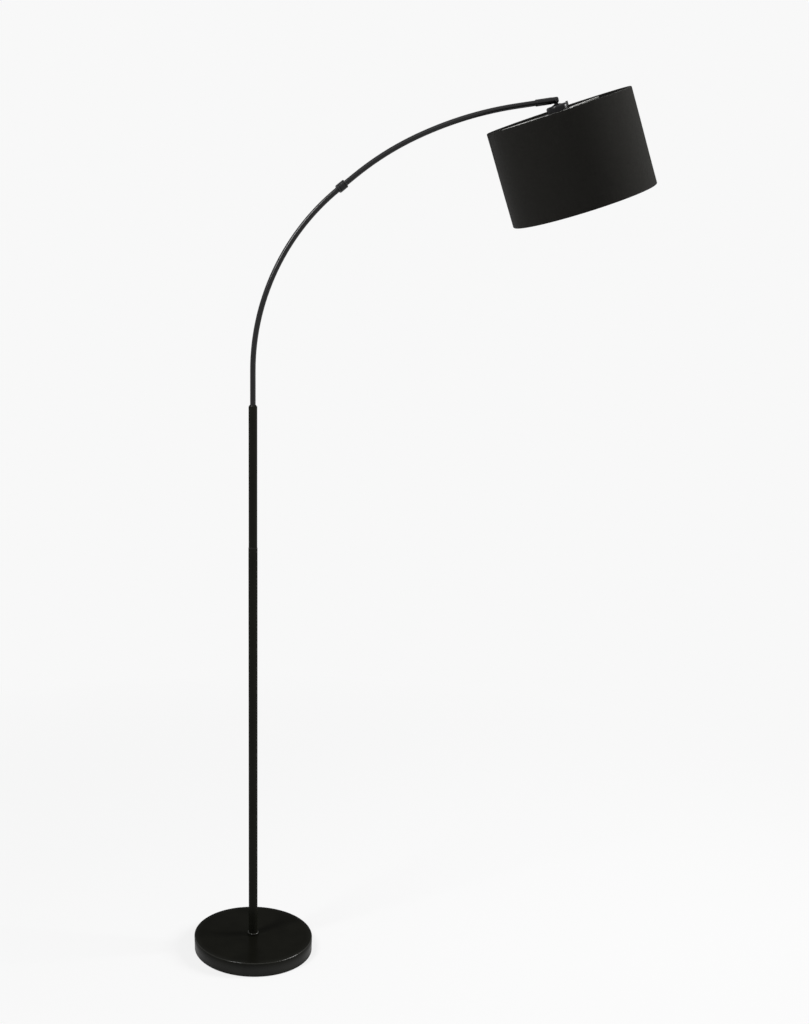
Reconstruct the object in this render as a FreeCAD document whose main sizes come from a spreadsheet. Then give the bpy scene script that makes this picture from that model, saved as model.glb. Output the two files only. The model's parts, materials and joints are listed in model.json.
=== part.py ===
import FreeCAD, Part
import math
import os

import Sketcher

# A bridge floor lamp: a weighted round base, a pole in two lengths, an arm of two bent tubes
# that turns in the pole's top, and a drum shade that tilts on a knuckle at the arm's end.
# Frame: origin on the floor at the middle of the base, +Z up, the arm reaches out along +X.

# Driving dimensions in millimetres, angles in degrees.
SIZES = {
    # base
    "base_diameter": 256.5,
    "base_height": 31.5,
    "base_side_draft": 0.6,
    "cover_wall": 1.2,
    "cover_edge_radius": 2.5,
    "cover_floor_gap": 1.5,
    "pad_inset": 6.0,
    "pad_thickness": 2.5,
    "weight_side_gap": 0.8,
    "weight_thickness": 17.0,
    "weight_boss": 64.0,
    "weight_recess": 44.0,
    "weight_recess_depth": 12.0,
    "weight_edge_chamfer": 2.0,
    "cord_channel_width": 14.0,
    "cord_channel_depth": 14.0,
    "outlet_height": 9.5,
    "outlet_hole": 11.0,
    "outlet_bore": 6.6,
    "outlet_flange": 14.0,
    "outlet_flange_thickness": 1.6,
    "outlet_flange_rim": 1.0,
    "outlet_nose_wall": 1.0,
    "outlet_barb": 0.9,
    "outlet_play": 0.35,
    # threaded parts
    "thread_diameter": 10.0,
    "thread_bore": 7.0,
    "thread_gap": 0.1,
    "stud_edge": 0.6,
    "stud_below_nut": 1.5,
    "nut_across_flats": 17.0,
    "nut_thickness": 6.0,
    "washer_diameter": 30.0,
    "washer_thickness": 2.0,
    "spring_washer_diameter": 18.0,
    "spring_washer_thickness": 1.6,
    "spring_washer_gap": 1.4,
    "spring_washer_lean": 1.0,
    # pole
    "collar_diameter": 24.0,
    "collar_height": 5.5,
    "collar_floor": 1.5,
    "collar_edge_radius": 1.8,
    "lower_pole_diameter": 19.0,
    "upper_pole_diameter": 18.0,
    "pole_wall": 1.2,
    "lower_pole_length": 859.0,
    "upper_pole_length": 294.5,
    "plug_length": 18.0,
    "plug_crimp_depth": 0.7,
    "plug_crimp_width": 2.8,
    "joiner_stud_length": 28.8,
    "slip_gap": 0.1,
    # swivel in the pole's top
    "bushing_shoulder_height": 4.5,
    "bushing_shoulder_rim": 0.9,
    "bushing_nose_wall": 0.8,
    "bushing_depth": 46.0,
    "bushing_ledge": 4.0,
    "lead_bore": 7.0,
    "running_gap": 0.08,
    "set_screw_diameter": 4.0,
    "set_screw_drop": 12.0,
    "set_screw_socket": 2.0,
    "set_screw_socket_depth": 1.6,
    "screw_edge": 0.5,
    # arm
    "arm_diameter": 11.5,
    "arm_wall": 1.0,
    "arm_stand": 71.3,
    "lower_bend_radius": 463.5,
    "lower_bend_angle": 51.7,
    "lower_arm_tail": 9.0,
    "upper_arm_lead": 34.3,
    "upper_bend_radius": 625.0,
    "upper_bend_angle": 13.6,
    "outer_bend_radius": 805.0,
    "outer_bend_angle": 16.0,
    "upper_arm_tail": 64.0,
    "coupler_diameter": 18.4,
    "coupler_length": 20.0,
    "coupler_chamfer": 0.9,
    "coupler_groove": 1.0,
    "coupler_groove_depth": 0.5,
    "coupler_groove_inset": 3.4,
    "joiner_wall": 1.2,
    "joiner_length": 30.0,
    "joiner_gap": 0.2,
    # knuckle
    "sleeve_diameter": 14.2,
    "sleeve_chamfer": 0.8,
    "sleeve_socket_depth": 23.0,
    "sleeve_lead_diameter": 5.0,
    "sleeve_lead_depth": 12.0,
    "pivot_distance": 42.6,
    "sleeve_nose_reach": 6.2,
    "sleeve_nose_radius": 3.4,
    "slot_behind_pivot": 8.0,
    "tongue_thickness": 4.4,
    "tongue_radius": 6.0,
    "tongue_neck": 7.2,
    "friction_washer_thickness": 0.6,
    "friction_washer_diameter": 10.0,
    "hinge_play": 0.05,
    "hinge_screw_diameter": 4.0,
    "hinge_screw_head": 7.0,
    "hinge_screw_head_height": 2.4,
    "hinge_screw_socket": 2.5,
    "hinge_screw_socket_depth": 1.4,
    "hinge_screw_end": 1.0,
    "hinge_nut_across_flats": 7.0,
    "hinge_nut_thickness": 3.0,
    "spot_face_diameter": 8.6,
    "spot_face_span": 10.8,
    # lampholder, as distances below the pivot along the shade's axis
    "shade_tilt": 18.55,
    "cup_top": 8.2,
    "cup_diameter": 23.0,
    "cup_height": 1.9,
    "cup_crown": 1.2,
    "cup_dome_radius": 27.6,
    "holder_cap_diameter": 44.0,
    "holder_cap_edge": 4.4,
    "holder_cap_wall": 2.0,
    "holder_cap_height": 12.2,
    "holder_skirt_diameter": 39.4,
    "holder_skirt_wall": 3.2,
    "holder_skirt_lip": 1.6,
    "holder_skirt_length": 41.0,
    "holder_skirt_neck": 3.7,
    "holder_skirt_end": 1.0,
    "tongue_shank_length": 9.0,
    "shank_nut_across_flats": 14.0,
    "shank_nut_thickness": 3.0,
    "catch_thickness": 1.6,
    "catch_width": 8.0,
    "catch_rise": 1.4,
    # socket and bulb
    "insulator_diameter": 32.6,
    "insulator_thickness": 5.0,
    "insulator_depth": 24.5,
    "insulator_boss_height": 1.2,
    "shell_diameter": 28.6,
    "shell_wall": 0.5,
    "shell_lip": 1.6,
    "shell_length": 22.0,
    "contact_width": 6.0,
    "contact_height": 2.6,
    "contact_thickness": 0.6,
    "contact_foot": 4.8,
    "contact_ramp": 5.6,
    "contact_land": 4.0,
    "contact_knee": 0.8,
    "bulb_cap_diameter": 26.4,
    "bulb_cap_length": 24.0,
    "bulb_tip_diameter": 9.0,
    "bulb_tip_height": 2.4,
    "bulb_tip_flare": 0.6,
    "bulb_cone_height": 2.4,
    "bulb_cone_step": 1.6,
    "bulb_cap_wall": 0.8,
    "bulb_tip_gap": 0.3,
    "bulb_diameter": 60.0,
    "bulb_glass_length": 80.0,
    "bulb_neck_diameter": 27.0,
    "bulb_glass_wall": 1.0,
    # shade
    "shade_diameter": 300.0,
    "shade_height": 204.2,
    "shade_top_drop": 20.6,
    "fabric_thickness": 0.8,
    "lining_thickness": 0.5,
    "wire_diameter": 3.0,
    "wire_gap": 0.1,
    "hem_thickness": 0.4,
    "hem_drop": 4.4,
    "spider_wire_diameter": 3.0,
    "spider_arms": 3,
    "spider_first_angle": 30.0,
    "spider_arm_lap": 2.0,
    "hem_slit_gap": 0.3,
    "hem_slit_lead": 6.0,
    "fitter_ring_diameter": 58.0,
    "fitter_ring_thickness": 1.6,
    "clamp_ring_diameter": 53.0,
    "clamp_ring_height": 9.0,
    "clamp_ring_flange": 2.4,
    "clamp_ring_barrel": 47.0,
    "clamp_ring_ribs": 20,
    "clamp_ring_rib_width": 2.6,
    "clamp_ring_rib_depth": 1.2,
    "clamp_ring_rib_root": 1.0,
    # how far a cutting outline runs past the face that it cuts
    "cut_margin": 1.0,
}

# A nut's corner radius and corner chamfer, as shares of its width across flats.
NUT_CORNER = 0.58
NUT_CHAMFER = 0.07

doc = FreeCAD.newDocument("bridge_floor_lamp")
sheet = doc.addObject("Spreadsheet::Sheet", "Sizes")
for row, (alias, number) in enumerate(SIZES.items(), start=1):
    sheet.set(f"A{row}", alias)
    sheet.set(f"B{row}", str(number))
    sheet.setAlias(f"B{row}", alias)
doc.recompute()

X_AXIS = FreeCAD.Vector(1, 0, 0)
Y_AXIS = FreeCAD.Vector(0, 1, 0)
Z_AXIS = FreeCAD.Vector(0, 0, 1)


class Size:
    """A length with its expression, so that a sum of sizes can both place and bind geometry."""

    def __init__(self, value, text):
        self.value = float(value)
        self.text = text

    def __add__(self, other):
        other = as_size(other)
        return Size(self.value + other.value, f"({self.text} + {other.text})")

    def __radd__(self, other):
        return as_size(other) + self

    def __sub__(self, other):
        other = as_size(other)
        return Size(self.value - other.value, f"({self.text} - {other.text})")

    def __rsub__(self, other):
        return as_size(other) - self

    def __mul__(self, factor):
        return Size(self.value * factor, f"({self.text} * {factor})")

    def __truediv__(self, factor):
        return Size(self.value / factor, f"({self.text} / {factor})")


def as_size(number):
    return number if isinstance(number, Size) else Size(number, str(number))


def size(alias):
    return Size(sheet.get(alias), f"Sizes.{alias}")


def half(alias):
    return size(alias) / 2


PARTS = []


def keep(part, label, placement=None):
    """Lists a finished sub-part under its node's name."""
    part.Label = label
    if placement is not None:
        part.Placement = placement
    PARTS.append(part)
    return part


def new_body(name):
    return doc.addObject("PartDesign::Body", f"{name}_body")


def plane(body, role):
    return next(item for item in body.Origin.OriginFeatures if item.Role == role)


def new_sketch(body, name, role):
    sketch = body.newObject("Sketcher::SketchObject", name)
    sketch.AttachmentSupport = [(plane(body, role), "")]
    sketch.MapMode = "FlatFace"
    return sketch


def bind(sketch, index, amount):
    sketch.setExpression(f"Constraints[{index}]", amount.text)


def pin_vertex(sketch, edge, end, across, along):
    """Fixes one vertex of a sketch at two bound distances from the sketch's origin."""
    for kind, axis, amount in (("DistanceX", -2, across), ("DistanceY", -1, along)):
        amount = as_size(amount)
        if amount.value == 0:
            sketch.addConstraint(Sketcher.Constraint("PointOnObject", edge, end, axis))
        else:
            rule = Sketcher.Constraint(kind, -1, 1, edge, end, amount.value)
            bind(sketch, sketch.addConstraint(rule), amount)


def arc_between(start, end, radius):
    """The arc from start to end. A positive radius turns left on the way, a negative one right."""
    middle = (start + end) * 0.5
    chord = end - start
    reach = math.sqrt(radius * radius - chord.Length * chord.Length / 4)
    left = FreeCAD.Vector(-chord.y, chord.x, 0).normalize()
    centre = middle + left * (reach if radius > 0 else -reach)
    first, last = (start, end) if radius > 0 else (end, start)
    angles = [math.atan2(p.y - centre.y, p.x - centre.x) for p in (first, last)]
    circle = Part.Circle(centre, Z_AXIS, abs(radius))
    return Part.ArcOfCircle(circle, angles[0], angles[1])


def outline(sketch, vertices):
    """Draws a closed outline of lines and arcs. A vertex is (across, along) or, where an arc
    leads to it, (across, along, radius)."""
    points = [FreeCAD.Vector(as_size(v[0]).value, as_size(v[1]).value, 0) for v in vertices]
    ends = []
    for index, vertex in enumerate(vertices):
        start, end = points[index - 1], points[index]
        if len(vertex) == 3:
            radius = vertex[2]
            edge = sketch.addGeometry(arc_between(start, end, radius.value), False)
            rule = Sketcher.Constraint("Radius", edge, abs(radius.value))
            amount = radius if radius.value > 0 else radius * -1
            bind(sketch, sketch.addConstraint(rule), amount)
            ends.append((edge, 1, 2) if radius.value > 0 else (edge, 2, 1))
        else:
            edge = sketch.addGeometry(Part.LineSegment(start, end), False)
            ends.append((edge, 1, 2))
    for index, vertex in enumerate(vertices):
        edge, _, last = ends[index]
        following, first, _ = ends[(index + 1) % len(ends)]
        sketch.addConstraint(Sketcher.Constraint("Coincident", edge, last, following, first))
        pin_vertex(sketch, edge, last, vertex[0], vertex[1])


def add_circle(sketch, across, along, radius):
    across, along, radius = as_size(across), as_size(along), as_size(radius)
    circle = Part.Circle(FreeCAD.Vector(across.value, along.value, 0), Z_AXIS, radius.value)
    edge = sketch.addGeometry(circle, False)
    bind(sketch, sketch.addConstraint(Sketcher.Constraint("Radius", edge, radius.value)), radius)
    pin_vertex(sketch, edge, 3, across, along)


def turned(name, *outlines):
    """A body turned about its own Z axis from one or more outlines of (radius, height)."""
    body = new_body(name)
    for number, vertices in enumerate(outlines, start=1):
        sketch = new_sketch(body, f"{name}_outline_{number}", "XZ_Plane")
        outline(sketch, vertices)
        turn = body.newObject("PartDesign::Revolution", f"{name}_turn_{number}")
        turn.Profile = sketch
        turn.ReferenceAxis = (sketch, ["V_Axis"])
        turn.Angle = 360
        sketch.Visibility = False
    doc.recompute()
    return body


def ring(inner_radius, outer_radius, bottom, top):
    """The outline of a plain ring."""
    return [(inner_radius, bottom), (outer_radius, bottom), (outer_radius, top), (inner_radius, top)]


def cut_through(body, name, role, draw, length=None):
    """Pockets a sketch right through the body both ways, or by a length towards +Y."""
    before = body.Shape.Volume
    sketch = new_sketch(body, f"{name}_sketch", role)
    draw(sketch)
    pocket = body.newObject("PartDesign::Pocket", name)
    pocket.Profile = sketch
    if length is None:
        pocket.SideType = "Symmetric"
        pocket.Type = "ThroughAll"
    else:
        pocket.Type = "Length"
        pocket.Length = length.value
        pocket.setExpression("Length", length.text)
    sketch.Visibility = False
    doc.recompute()
    if not body.Shape.Volume < before - 0.01:
        raise RuntimeError(f"{name} cuts nothing")


def rectangle(left, right, bottom, top):
    return lambda sketch: outline(
        sketch, [(left, bottom), (right, bottom), (right, top), (left, top)]
    )


def disc(across, along, radius):
    return lambda sketch: add_circle(sketch, across, along, radius)


def round_edges(body, name, radius, wanted):
    """Rounds the edges of the body's tip that the test picks."""
    tip = body.Tip
    names = [f"Edge{n}" for n, edge in enumerate(tip.Shape.Edges, start=1) if wanted(edge)]
    feature = body.newObject("PartDesign::Fillet", name)
    feature.Base = (tip, names)
    feature.setExpression("Radius", radius.text)
    doc.recompute()


def circle_at(radius, height):
    """Picks the circular edge of a turned body with this radius at this height."""

    def wanted(edge):
        curve = edge.Curve
        return (
            isinstance(curve, Part.Circle)
            and abs(curve.Radius - radius.value) < 0.01
            and abs(curve.Center.z - as_size(height).value) < 0.01
        )

    return wanted


def hex_nut(name, across_flats, thickness, bore_radius):
    """A hexagonal nut standing on the XY plane, with its corners turned off at both ends."""
    prism = doc.addObject("Part::Prism", f"{name}_hexagon")
    prism.Polygon = 6
    prism.setExpression("Circumradius", (across_flats / 2).text + " / cos(30)")
    prism.setExpression("Height", thickness.text)
    slope = across_flats * NUT_CHAMFER
    corner = across_flats * NUT_CORNER
    rim = across_flats / 2
    blank = turned(
        f"{name}_blank",
        [
            (bore_radius, 0),
            (rim, 0),
            (corner, slope),
            (corner, thickness - slope),
            (rim, thickness),
            (bore_radius, thickness),
        ],
    )
    nut = doc.addObject("Part::Common", name)
    nut.Base = prism
    nut.Tool = blank
    doc.recompute()
    return nut


def tube_path(body, name, steps):
    """A path that starts upwards at the body's origin and turns to the right through its arcs.
    A step is (length,) for a straight run or (radius, degrees) for an arc."""
    sketch = new_sketch(body, name, "XZ_Plane")
    point = FreeCAD.Vector(0, 0, 0)
    heading = 0.0
    previous = None
    for step in steps:
        ahead = FreeCAD.Vector(math.sin(heading), math.cos(heading), 0)
        if len(step) == 1:
            end = point + ahead * step[0].value
            edge = sketch.addGeometry(Part.LineSegment(point, end), False)
            first, last = 1, 2
            rule = Sketcher.Constraint("Distance", edge, step[0].value)
            bind(sketch, sketch.addConstraint(rule), step[0])
        else:
            radius, sweep = step
            centre = point + FreeCAD.Vector(ahead.y, -ahead.x, 0) * radius.value
            heading += math.radians(sweep.value)
            out = FreeCAD.Vector(-math.cos(heading), math.sin(heading), 0)
            end = centre + out * radius.value
            start_angle = math.pi - heading
            end_angle = start_angle + math.radians(sweep.value)
            circle = Part.Circle(centre, Z_AXIS, radius.value)
            edge = sketch.addGeometry(Part.ArcOfCircle(circle, start_angle, end_angle), False)
            first, last = 2, 1
            rule = Sketcher.Constraint("Radius", edge, radius.value)
            bind(sketch, sketch.addConstraint(rule), radius)
            rule = Sketcher.Constraint("Angle", edge, math.radians(sweep.value))
            index = sketch.addConstraint(rule)
            sketch.setExpression(f"Constraints[{index}]", f"{sweep.text} * 1 deg")
        if previous is None:
            sketch.addConstraint(Sketcher.Constraint("Coincident", edge, first, -1, 1))
            sketch.addConstraint(Sketcher.Constraint("Vertical", edge))
        else:
            sketch.addConstraint(Sketcher.Constraint("Tangent", *previous, edge, first))
        previous = (edge, last)
        point = end
    return sketch


def swept_tube(name, diameter, wall, steps):
    """A round tube along a path of straight runs and arcs."""
    body = new_body(name)
    path = tube_path(body, f"{name}_path", steps)
    section = new_sketch(body, f"{name}_section", "XY_Plane")
    add_circle(section, 0, 0, diameter / 2)
    add_circle(section, 0, 0, diameter / 2 - wall)
    doc.recompute()
    sweep = body.newObject("PartDesign::AdditivePipe", f"{name}_sweep")
    sweep.Profile = section
    sweep.Spine = (path, [f"Edge{n}" for n in range(1, len(steps) + 1)])
    doc.recompute()
    outer = diameter.value / 2
    area = math.pi * (outer**2 - (outer - wall.value) ** 2)
    expected = area * path.Shape.Length
    if abs(body.Shape.Volume / expected - 1) > 0.001:
        raise RuntimeError(f"{name}: volume {body.Shape.Volume}, expected {expected}")
    return body


def walk(point, heading, steps):
    """Follows a tube's steps in the XZ plane and gives the end point and heading, in degrees
    from vertical."""
    x, z = point
    for step in steps:
        angle = math.radians(heading)
        if len(step) == 1:
            x += step[0].value * math.sin(angle)
            z += step[0].value * math.cos(angle)
        else:
            radius, sweep = step[0].value, step[1].value
            turn = math.radians(heading + sweep)
            x += radius * (math.cos(angle) - math.cos(turn))
            z += radius * (math.sin(turn) - math.sin(angle))
            heading += sweep
    return (x, z), heading


# ---------------------------------------------------------------- levels and frames

pad_top = size("pad_thickness")
cover_top = size("base_height")
cover_inner_top = cover_top - size("cover_wall")
pole_foot = cover_top + size("collar_floor")
seam = pole_foot + size("lower_pole_length")
pole_end = seam + size("upper_pole_length")
bushing_top = pole_end + size("bushing_shoulder_height")
arm_radius = half("arm_diameter")
arm_bore_radius = arm_radius - size("arm_wall")
socket_radius = arm_radius + size("slip_gap")
thread_radius = half("thread_diameter")
tapped_radius = thread_radius + size("thread_gap")

arm_foot_depth = size("bushing_depth") - size("bushing_ledge") - size("slip_gap")
arm_foot = pole_end - arm_foot_depth
lower_arm_steps = [
    (arm_foot_depth + size("bushing_shoulder_height") + size("arm_stand"),),
    (size("lower_bend_radius"), size("lower_bend_angle")),
    (size("lower_arm_tail"),),
]
upper_arm_steps = [
    (size("upper_arm_lead"),),
    (size("upper_bend_radius"), size("upper_bend_angle")),
    (size("outer_bend_radius"), size("outer_bend_angle")),
    (size("upper_arm_tail"),),
]
coupler_point, coupler_heading = walk((0.0, arm_foot.value), 0.0, lower_arm_steps)
arm_end_point, arm_end_heading = walk(coupler_point, coupler_heading, upper_arm_steps)


def arm_frame(point, heading, back=0.0):
    """A placement in the arm's plane whose Z axis runs outwards along the arm."""
    angle = math.radians(heading)
    x = point[0] - back * math.sin(angle)
    z = point[1] - back * math.cos(angle)
    return FreeCAD.Placement(FreeCAD.Vector(x, 0, z), FreeCAD.Rotation(Y_AXIS, heading))


def at_height(height):
    return FreeCAD.Placement(FreeCAD.Vector(0, 0, height.value), FreeCAD.Rotation())


# The sleeve starts where the tube's end, less the socket's depth, leaves it.
sleeve_frame = arm_frame(arm_end_point, arm_end_heading, SIZES["sleeve_socket_depth"])
pivot = sleeve_frame.multVec(FreeCAD.Vector(0, 0, SIZES["pivot_distance"]))
head_frame = FreeCAD.Placement(pivot, FreeCAD.Rotation(Y_AXIS, 180 - SIZES["shade_tilt"]))


# ---------------------------------------------------------------- base


def floor_pad():
    """Foam disc glued under the base, a little inside its rim."""
    rim = half("base_diameter") - size("pad_inset")
    body = turned("floor_pad", ring(as_size(0), rim, 0, pad_top))
    return keep(body, "floor_pad")


def base_weight():
    """Cast iron disc with a boss that meets the cover's top, a recess for the nut and a channel
    for the lead."""
    rim = half("base_diameter") - size("cover_wall") - size("weight_side_gap")
    rim = rim - size("base_side_draft")
    edge = size("weight_edge_chamfer")
    top = pad_top + size("weight_thickness")
    recess = pad_top + size("weight_recess_depth")
    body = turned(
        "base_weight",
        [
            (tapped_radius, recess),
            (half("weight_recess"), recess),
            (half("weight_recess"), pad_top),
            (rim, pad_top),
            (rim, top - edge),
            (rim - edge, top),
            (half("weight_boss"), top),
            (half("weight_boss"), cover_inner_top - edge),
            (half("weight_boss") - edge, cover_inner_top),
            (tapped_radius, cover_inner_top),
        ],
    )
    side = half("cord_channel_width")
    channel = rectangle(side * -1, side, 0, pad_top + size("cord_channel_depth"))
    cut_through(body, "cord_channel", "XZ_Plane", channel, half("base_diameter"))
    return keep(body, "base_weight")


def base_cover():
    """Drawn steel cover: a flat top, a rounded rim and a short, slightly drawn-in skirt."""
    outer = half("base_diameter")
    foot = outer - size("base_side_draft")
    wall = size("cover_wall")
    bottom = size("cover_floor_gap")
    body = turned(
        "base_cover",
        [
            (tapped_radius, cover_inner_top),
            (outer - wall, cover_inner_top),
            (foot - wall, bottom),
            (foot, bottom),
            (outer, cover_top),
            (tapped_radius, cover_top),
        ],
    )
    edge = size("cover_edge_radius")
    round_edges(body, "cover_rim", edge, circle_at(outer, cover_top))
    inner_rim = circle_at(outer - wall, cover_inner_top)
    round_edges(body, "cover_inner_rim", edge - wall, inner_rim)
    hole = disc(0, size("outlet_height"), half("outlet_hole"))
    cut_through(body, "outlet_hole_cut", "XZ_Plane", hole, outer)
    return keep(body, "base_cover")


def cord_grommet():
    """Nylon bush in the back of the skirt: a barb inside the wall and a domed flange outside.
    Its play covers the wall's curve and draft across its width."""
    barb_end = size("outlet_flange_thickness")
    face = barb_end + size("cover_wall") + size("outlet_play") * 2
    bore = half("outlet_bore")
    neck = half("outlet_hole") - size("slip_gap")
    barb = half("outlet_hole") + size("outlet_barb")
    rim = face + size("outlet_flange_rim")
    nose = rim + size("outlet_flange_rim")
    body = turned(
        "cord_grommet",
        [
            (bore, 0),
            (neck, 0),
            (barb, barb_end / 2),
            (barb, barb_end),
            (neck, barb_end),
            (neck, face),
            (half("outlet_flange"), face),
            (half("outlet_flange"), rim),
            (bore + size("outlet_nose_wall"), nose),
            (bore, nose),
        ],
    )
    slant = SIZES["base_side_draft"] / (SIZES["base_height"] - SIZES["cover_floor_gap"])
    drop = SIZES["base_height"] - SIZES["outlet_height"]
    back = SIZES["base_diameter"] / 2 - SIZES["cover_wall"] - slant * drop
    seat = back - SIZES["outlet_flange_thickness"] - SIZES["outlet_play"]
    place = FreeCAD.Vector(0, seat, SIZES["outlet_height"])
    return keep(body, "cord_grommet", FreeCAD.Placement(place, FreeCAD.Rotation(X_AXIS, -90)))


recess_roof = pad_top + size("weight_recess_depth")
washer_seat = recess_roof - size("washer_thickness")
spring_seat = washer_seat - size("spring_washer_thickness")
nut_seat = spring_seat - size("nut_thickness")


def washer(name, diameter, thickness, height):
    body = turned(name, ring(tapped_radius, diameter / 2, 0, thickness))
    return keep(body, name, at_height(height))


def spring_washer():
    """Split spring washer: a flat ring with one slanted gap."""
    name = "spring_washer"
    thickness = size("spring_washer_thickness")
    outer = half("spring_washer_diameter")
    body = turned(name, ring(tapped_radius, outer, 0, thickness))
    wide = size("spring_washer_gap")
    lean = size("spring_washer_lean")
    low = size("cut_margin") * -1
    high = thickness + size("cut_margin")
    gap = [(0, low), (wide, low), (wide + lean, high), (lean, high)]
    cut_through(body, "washer_split", "XZ_Plane", lambda sketch: outline(sketch, gap), outer)
    return keep(body, name, at_height(spring_seat))


def threaded_tube(name, length, height):
    """Hollow threaded tube with chamfered ends, through which the lead runs."""
    edge = size("stud_edge")
    bore = half("thread_bore")
    body = turned(
        name,
        [
            (bore, 0),
            (thread_radius - edge, 0),
            (thread_radius, edge),
            (thread_radius, length - edge),
            (thread_radius - edge, length),
            (bore, length),
        ],
    )
    return keep(body, name, at_height(height))


def center_stud():
    bottom = nut_seat - size("stud_below_nut")
    top = pole_foot + size("plug_length")
    return threaded_tube("center_stud", top - bottom, bottom)


def stud_nut():
    nut = hex_nut("stud_nut", size("nut_across_flats"), size("nut_thickness"), tapped_radius)
    return keep(nut, "stud_nut", at_height(nut_seat))


# ---------------------------------------------------------------- pole

lower_bore = half("lower_pole_diameter") - size("pole_wall")
upper_bore = half("upper_pole_diameter") - size("pole_wall")


def foot_collar():
    """Turned cup on the base that the pole stands in, with a rounded rim."""
    outer = half("collar_diameter")
    seat = half("lower_pole_diameter") + size("slip_gap")
    high = size("collar_height")
    body = turned(
        "foot_collar",
        [
            (tapped_radius, 0),
            (outer, 0),
            (outer, high),
            (seat, high),
            (seat, size("collar_floor")),
            (tapped_radius, size("collar_floor")),
        ],
    )
    round_edges(body, "collar_rim", size("collar_edge_radius"), circle_at(outer, high))
    return keep(body, "foot_collar", at_height(cover_top))


def pole_tube(name, diameter, length, height):
    """Steel tube with its outer edges broken."""
    bore = diameter / 2 - size("pole_wall")
    edge = size("pole_wall") / 4
    outer = diameter / 2
    body = turned(
        name,
        [
            (bore, 0),
            (outer - edge, 0),
            (outer, edge),
            (outer, length - edge),
            (outer - edge, length),
            (bore, length),
        ],
    )
    return keep(body, name, at_height(height))


def pole_plug(name, bore, height):
    """Tapped steel plug, crimped in the end of a pole tube."""
    outer = bore - size("slip_gap")
    body = turned(name, ring(tapped_radius, outer, 0, size("plug_length")))
    low = half("plug_length") - half("plug_crimp_width")
    high = half("plug_length") + half("plug_crimp_width")
    waist = ring(outer - size("plug_crimp_depth"), outer + size("cut_margin"), low, high)
    sketch = new_sketch(body, f"{name}_crimp_outline", "XZ_Plane")
    outline(sketch, waist)
    groove = body.newObject("PartDesign::Groove", f"{name}_crimp")
    groove.Profile = sketch
    groove.ReferenceAxis = (sketch, ["V_Axis"])
    groove.Angle = 360
    sketch.Visibility = False
    before = body.Shape.Volume
    doc.recompute()
    if not body.Shape.Volume < before:
        raise RuntimeError(f"{name}: the crimp groove cuts nothing")
    return keep(body, name, at_height(height))


def pole():
    pole_tube("lower_pole", size("lower_pole_diameter"), size("lower_pole_length"), pole_foot)
    pole_tube("upper_pole", size("upper_pole_diameter"), size("upper_pole_length"), seam)
    pole_plug("lower_pole_foot_plug", lower_bore, pole_foot)
    pole_plug("lower_pole_top_plug", lower_bore, seam - size("plug_length"))
    pole_plug("upper_pole_foot_plug", upper_bore, seam)
    joiner = size("joiner_stud_length")
    threaded_tube("pole_joiner_stud", joiner, seam - joiner / 2)


def pole_top_bushing():
    """Turned bush in the pole's top: a sloping shoulder outside, a long bore for the arm and a
    ledge that the arm's foot stands on."""
    plug = upper_bore - size("slip_gap")
    bore = arm_radius + size("running_gap")
    ledge = half("lead_bore")
    shoulder = half("upper_pole_diameter")
    depth = size("bushing_depth")
    top = depth + size("bushing_shoulder_height")
    body = turned(
        "pole_top_bushing",
        [
            (ledge, 0),
            (plug, 0),
            (plug, depth),
            (shoulder, depth),
            (shoulder, depth + size("bushing_shoulder_rim")),
            (bore + size("bushing_nose_wall"), top),
            (bore, top),
            (bore, size("bushing_ledge")),
            (ledge, size("bushing_ledge")),
        ],
    )
    height = depth - size("set_screw_drop")
    hole = disc(0, height, half("set_screw_diameter") + size("thread_gap"))
    cut_through(body, "bushing_screw_hole", "XZ_Plane", hole, shoulder)
    return keep(body, "pole_top_bushing", at_height(pole_end - depth))


def drill_upper_pole():
    """The hole in the back of the pole for the set screw."""
    body = next(part for part in PARTS if part.Label == "upper_pole")
    height = size("upper_pole_length") - size("set_screw_drop")
    hole = disc(0, height, half("set_screw_diameter") + size("thread_gap"))
    cut_through(body, "pole_screw_hole", "XZ_Plane", hole, half("upper_pole_diameter"))


def arm_set_screw():
    """Socket grub screw in the back of the pole that brakes the arm."""
    inner = arm_radius + size("slip_gap")
    length = half("upper_pole_diameter") - inner
    socket = length - size("set_screw_socket_depth")
    outer = half("set_screw_diameter")
    body = turned(
        "arm_set_screw",
        [
            (0, 0),
            (outer - size("screw_edge"), 0),
            (outer, size("screw_edge")),
            (outer, length),
            (half("set_screw_socket"), length),
            (half("set_screw_socket"), socket),
            (0, socket),
        ],
    )
    height = pole_end.value - SIZES["set_screw_drop"]
    place = FreeCAD.Vector(0, inner.value, height)
    return keep(body, "arm_set_screw", FreeCAD.Placement(place, FreeCAD.Rotation(X_AXIS, -90)))


# ---------------------------------------------------------------- arm


def lower_arm_tube():
    body = swept_tube("lower_arm_tube", size("arm_diameter"), size("arm_wall"), lower_arm_steps)
    return keep(body, "lower_arm_tube", at_height(arm_foot))


def upper_arm_tube():
    body = swept_tube("upper_arm_tube", size("arm_diameter"), size("arm_wall"), upper_arm_steps)
    return keep(body, "upper_arm_tube", arm_frame(coupler_point, coupler_heading))


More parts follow.
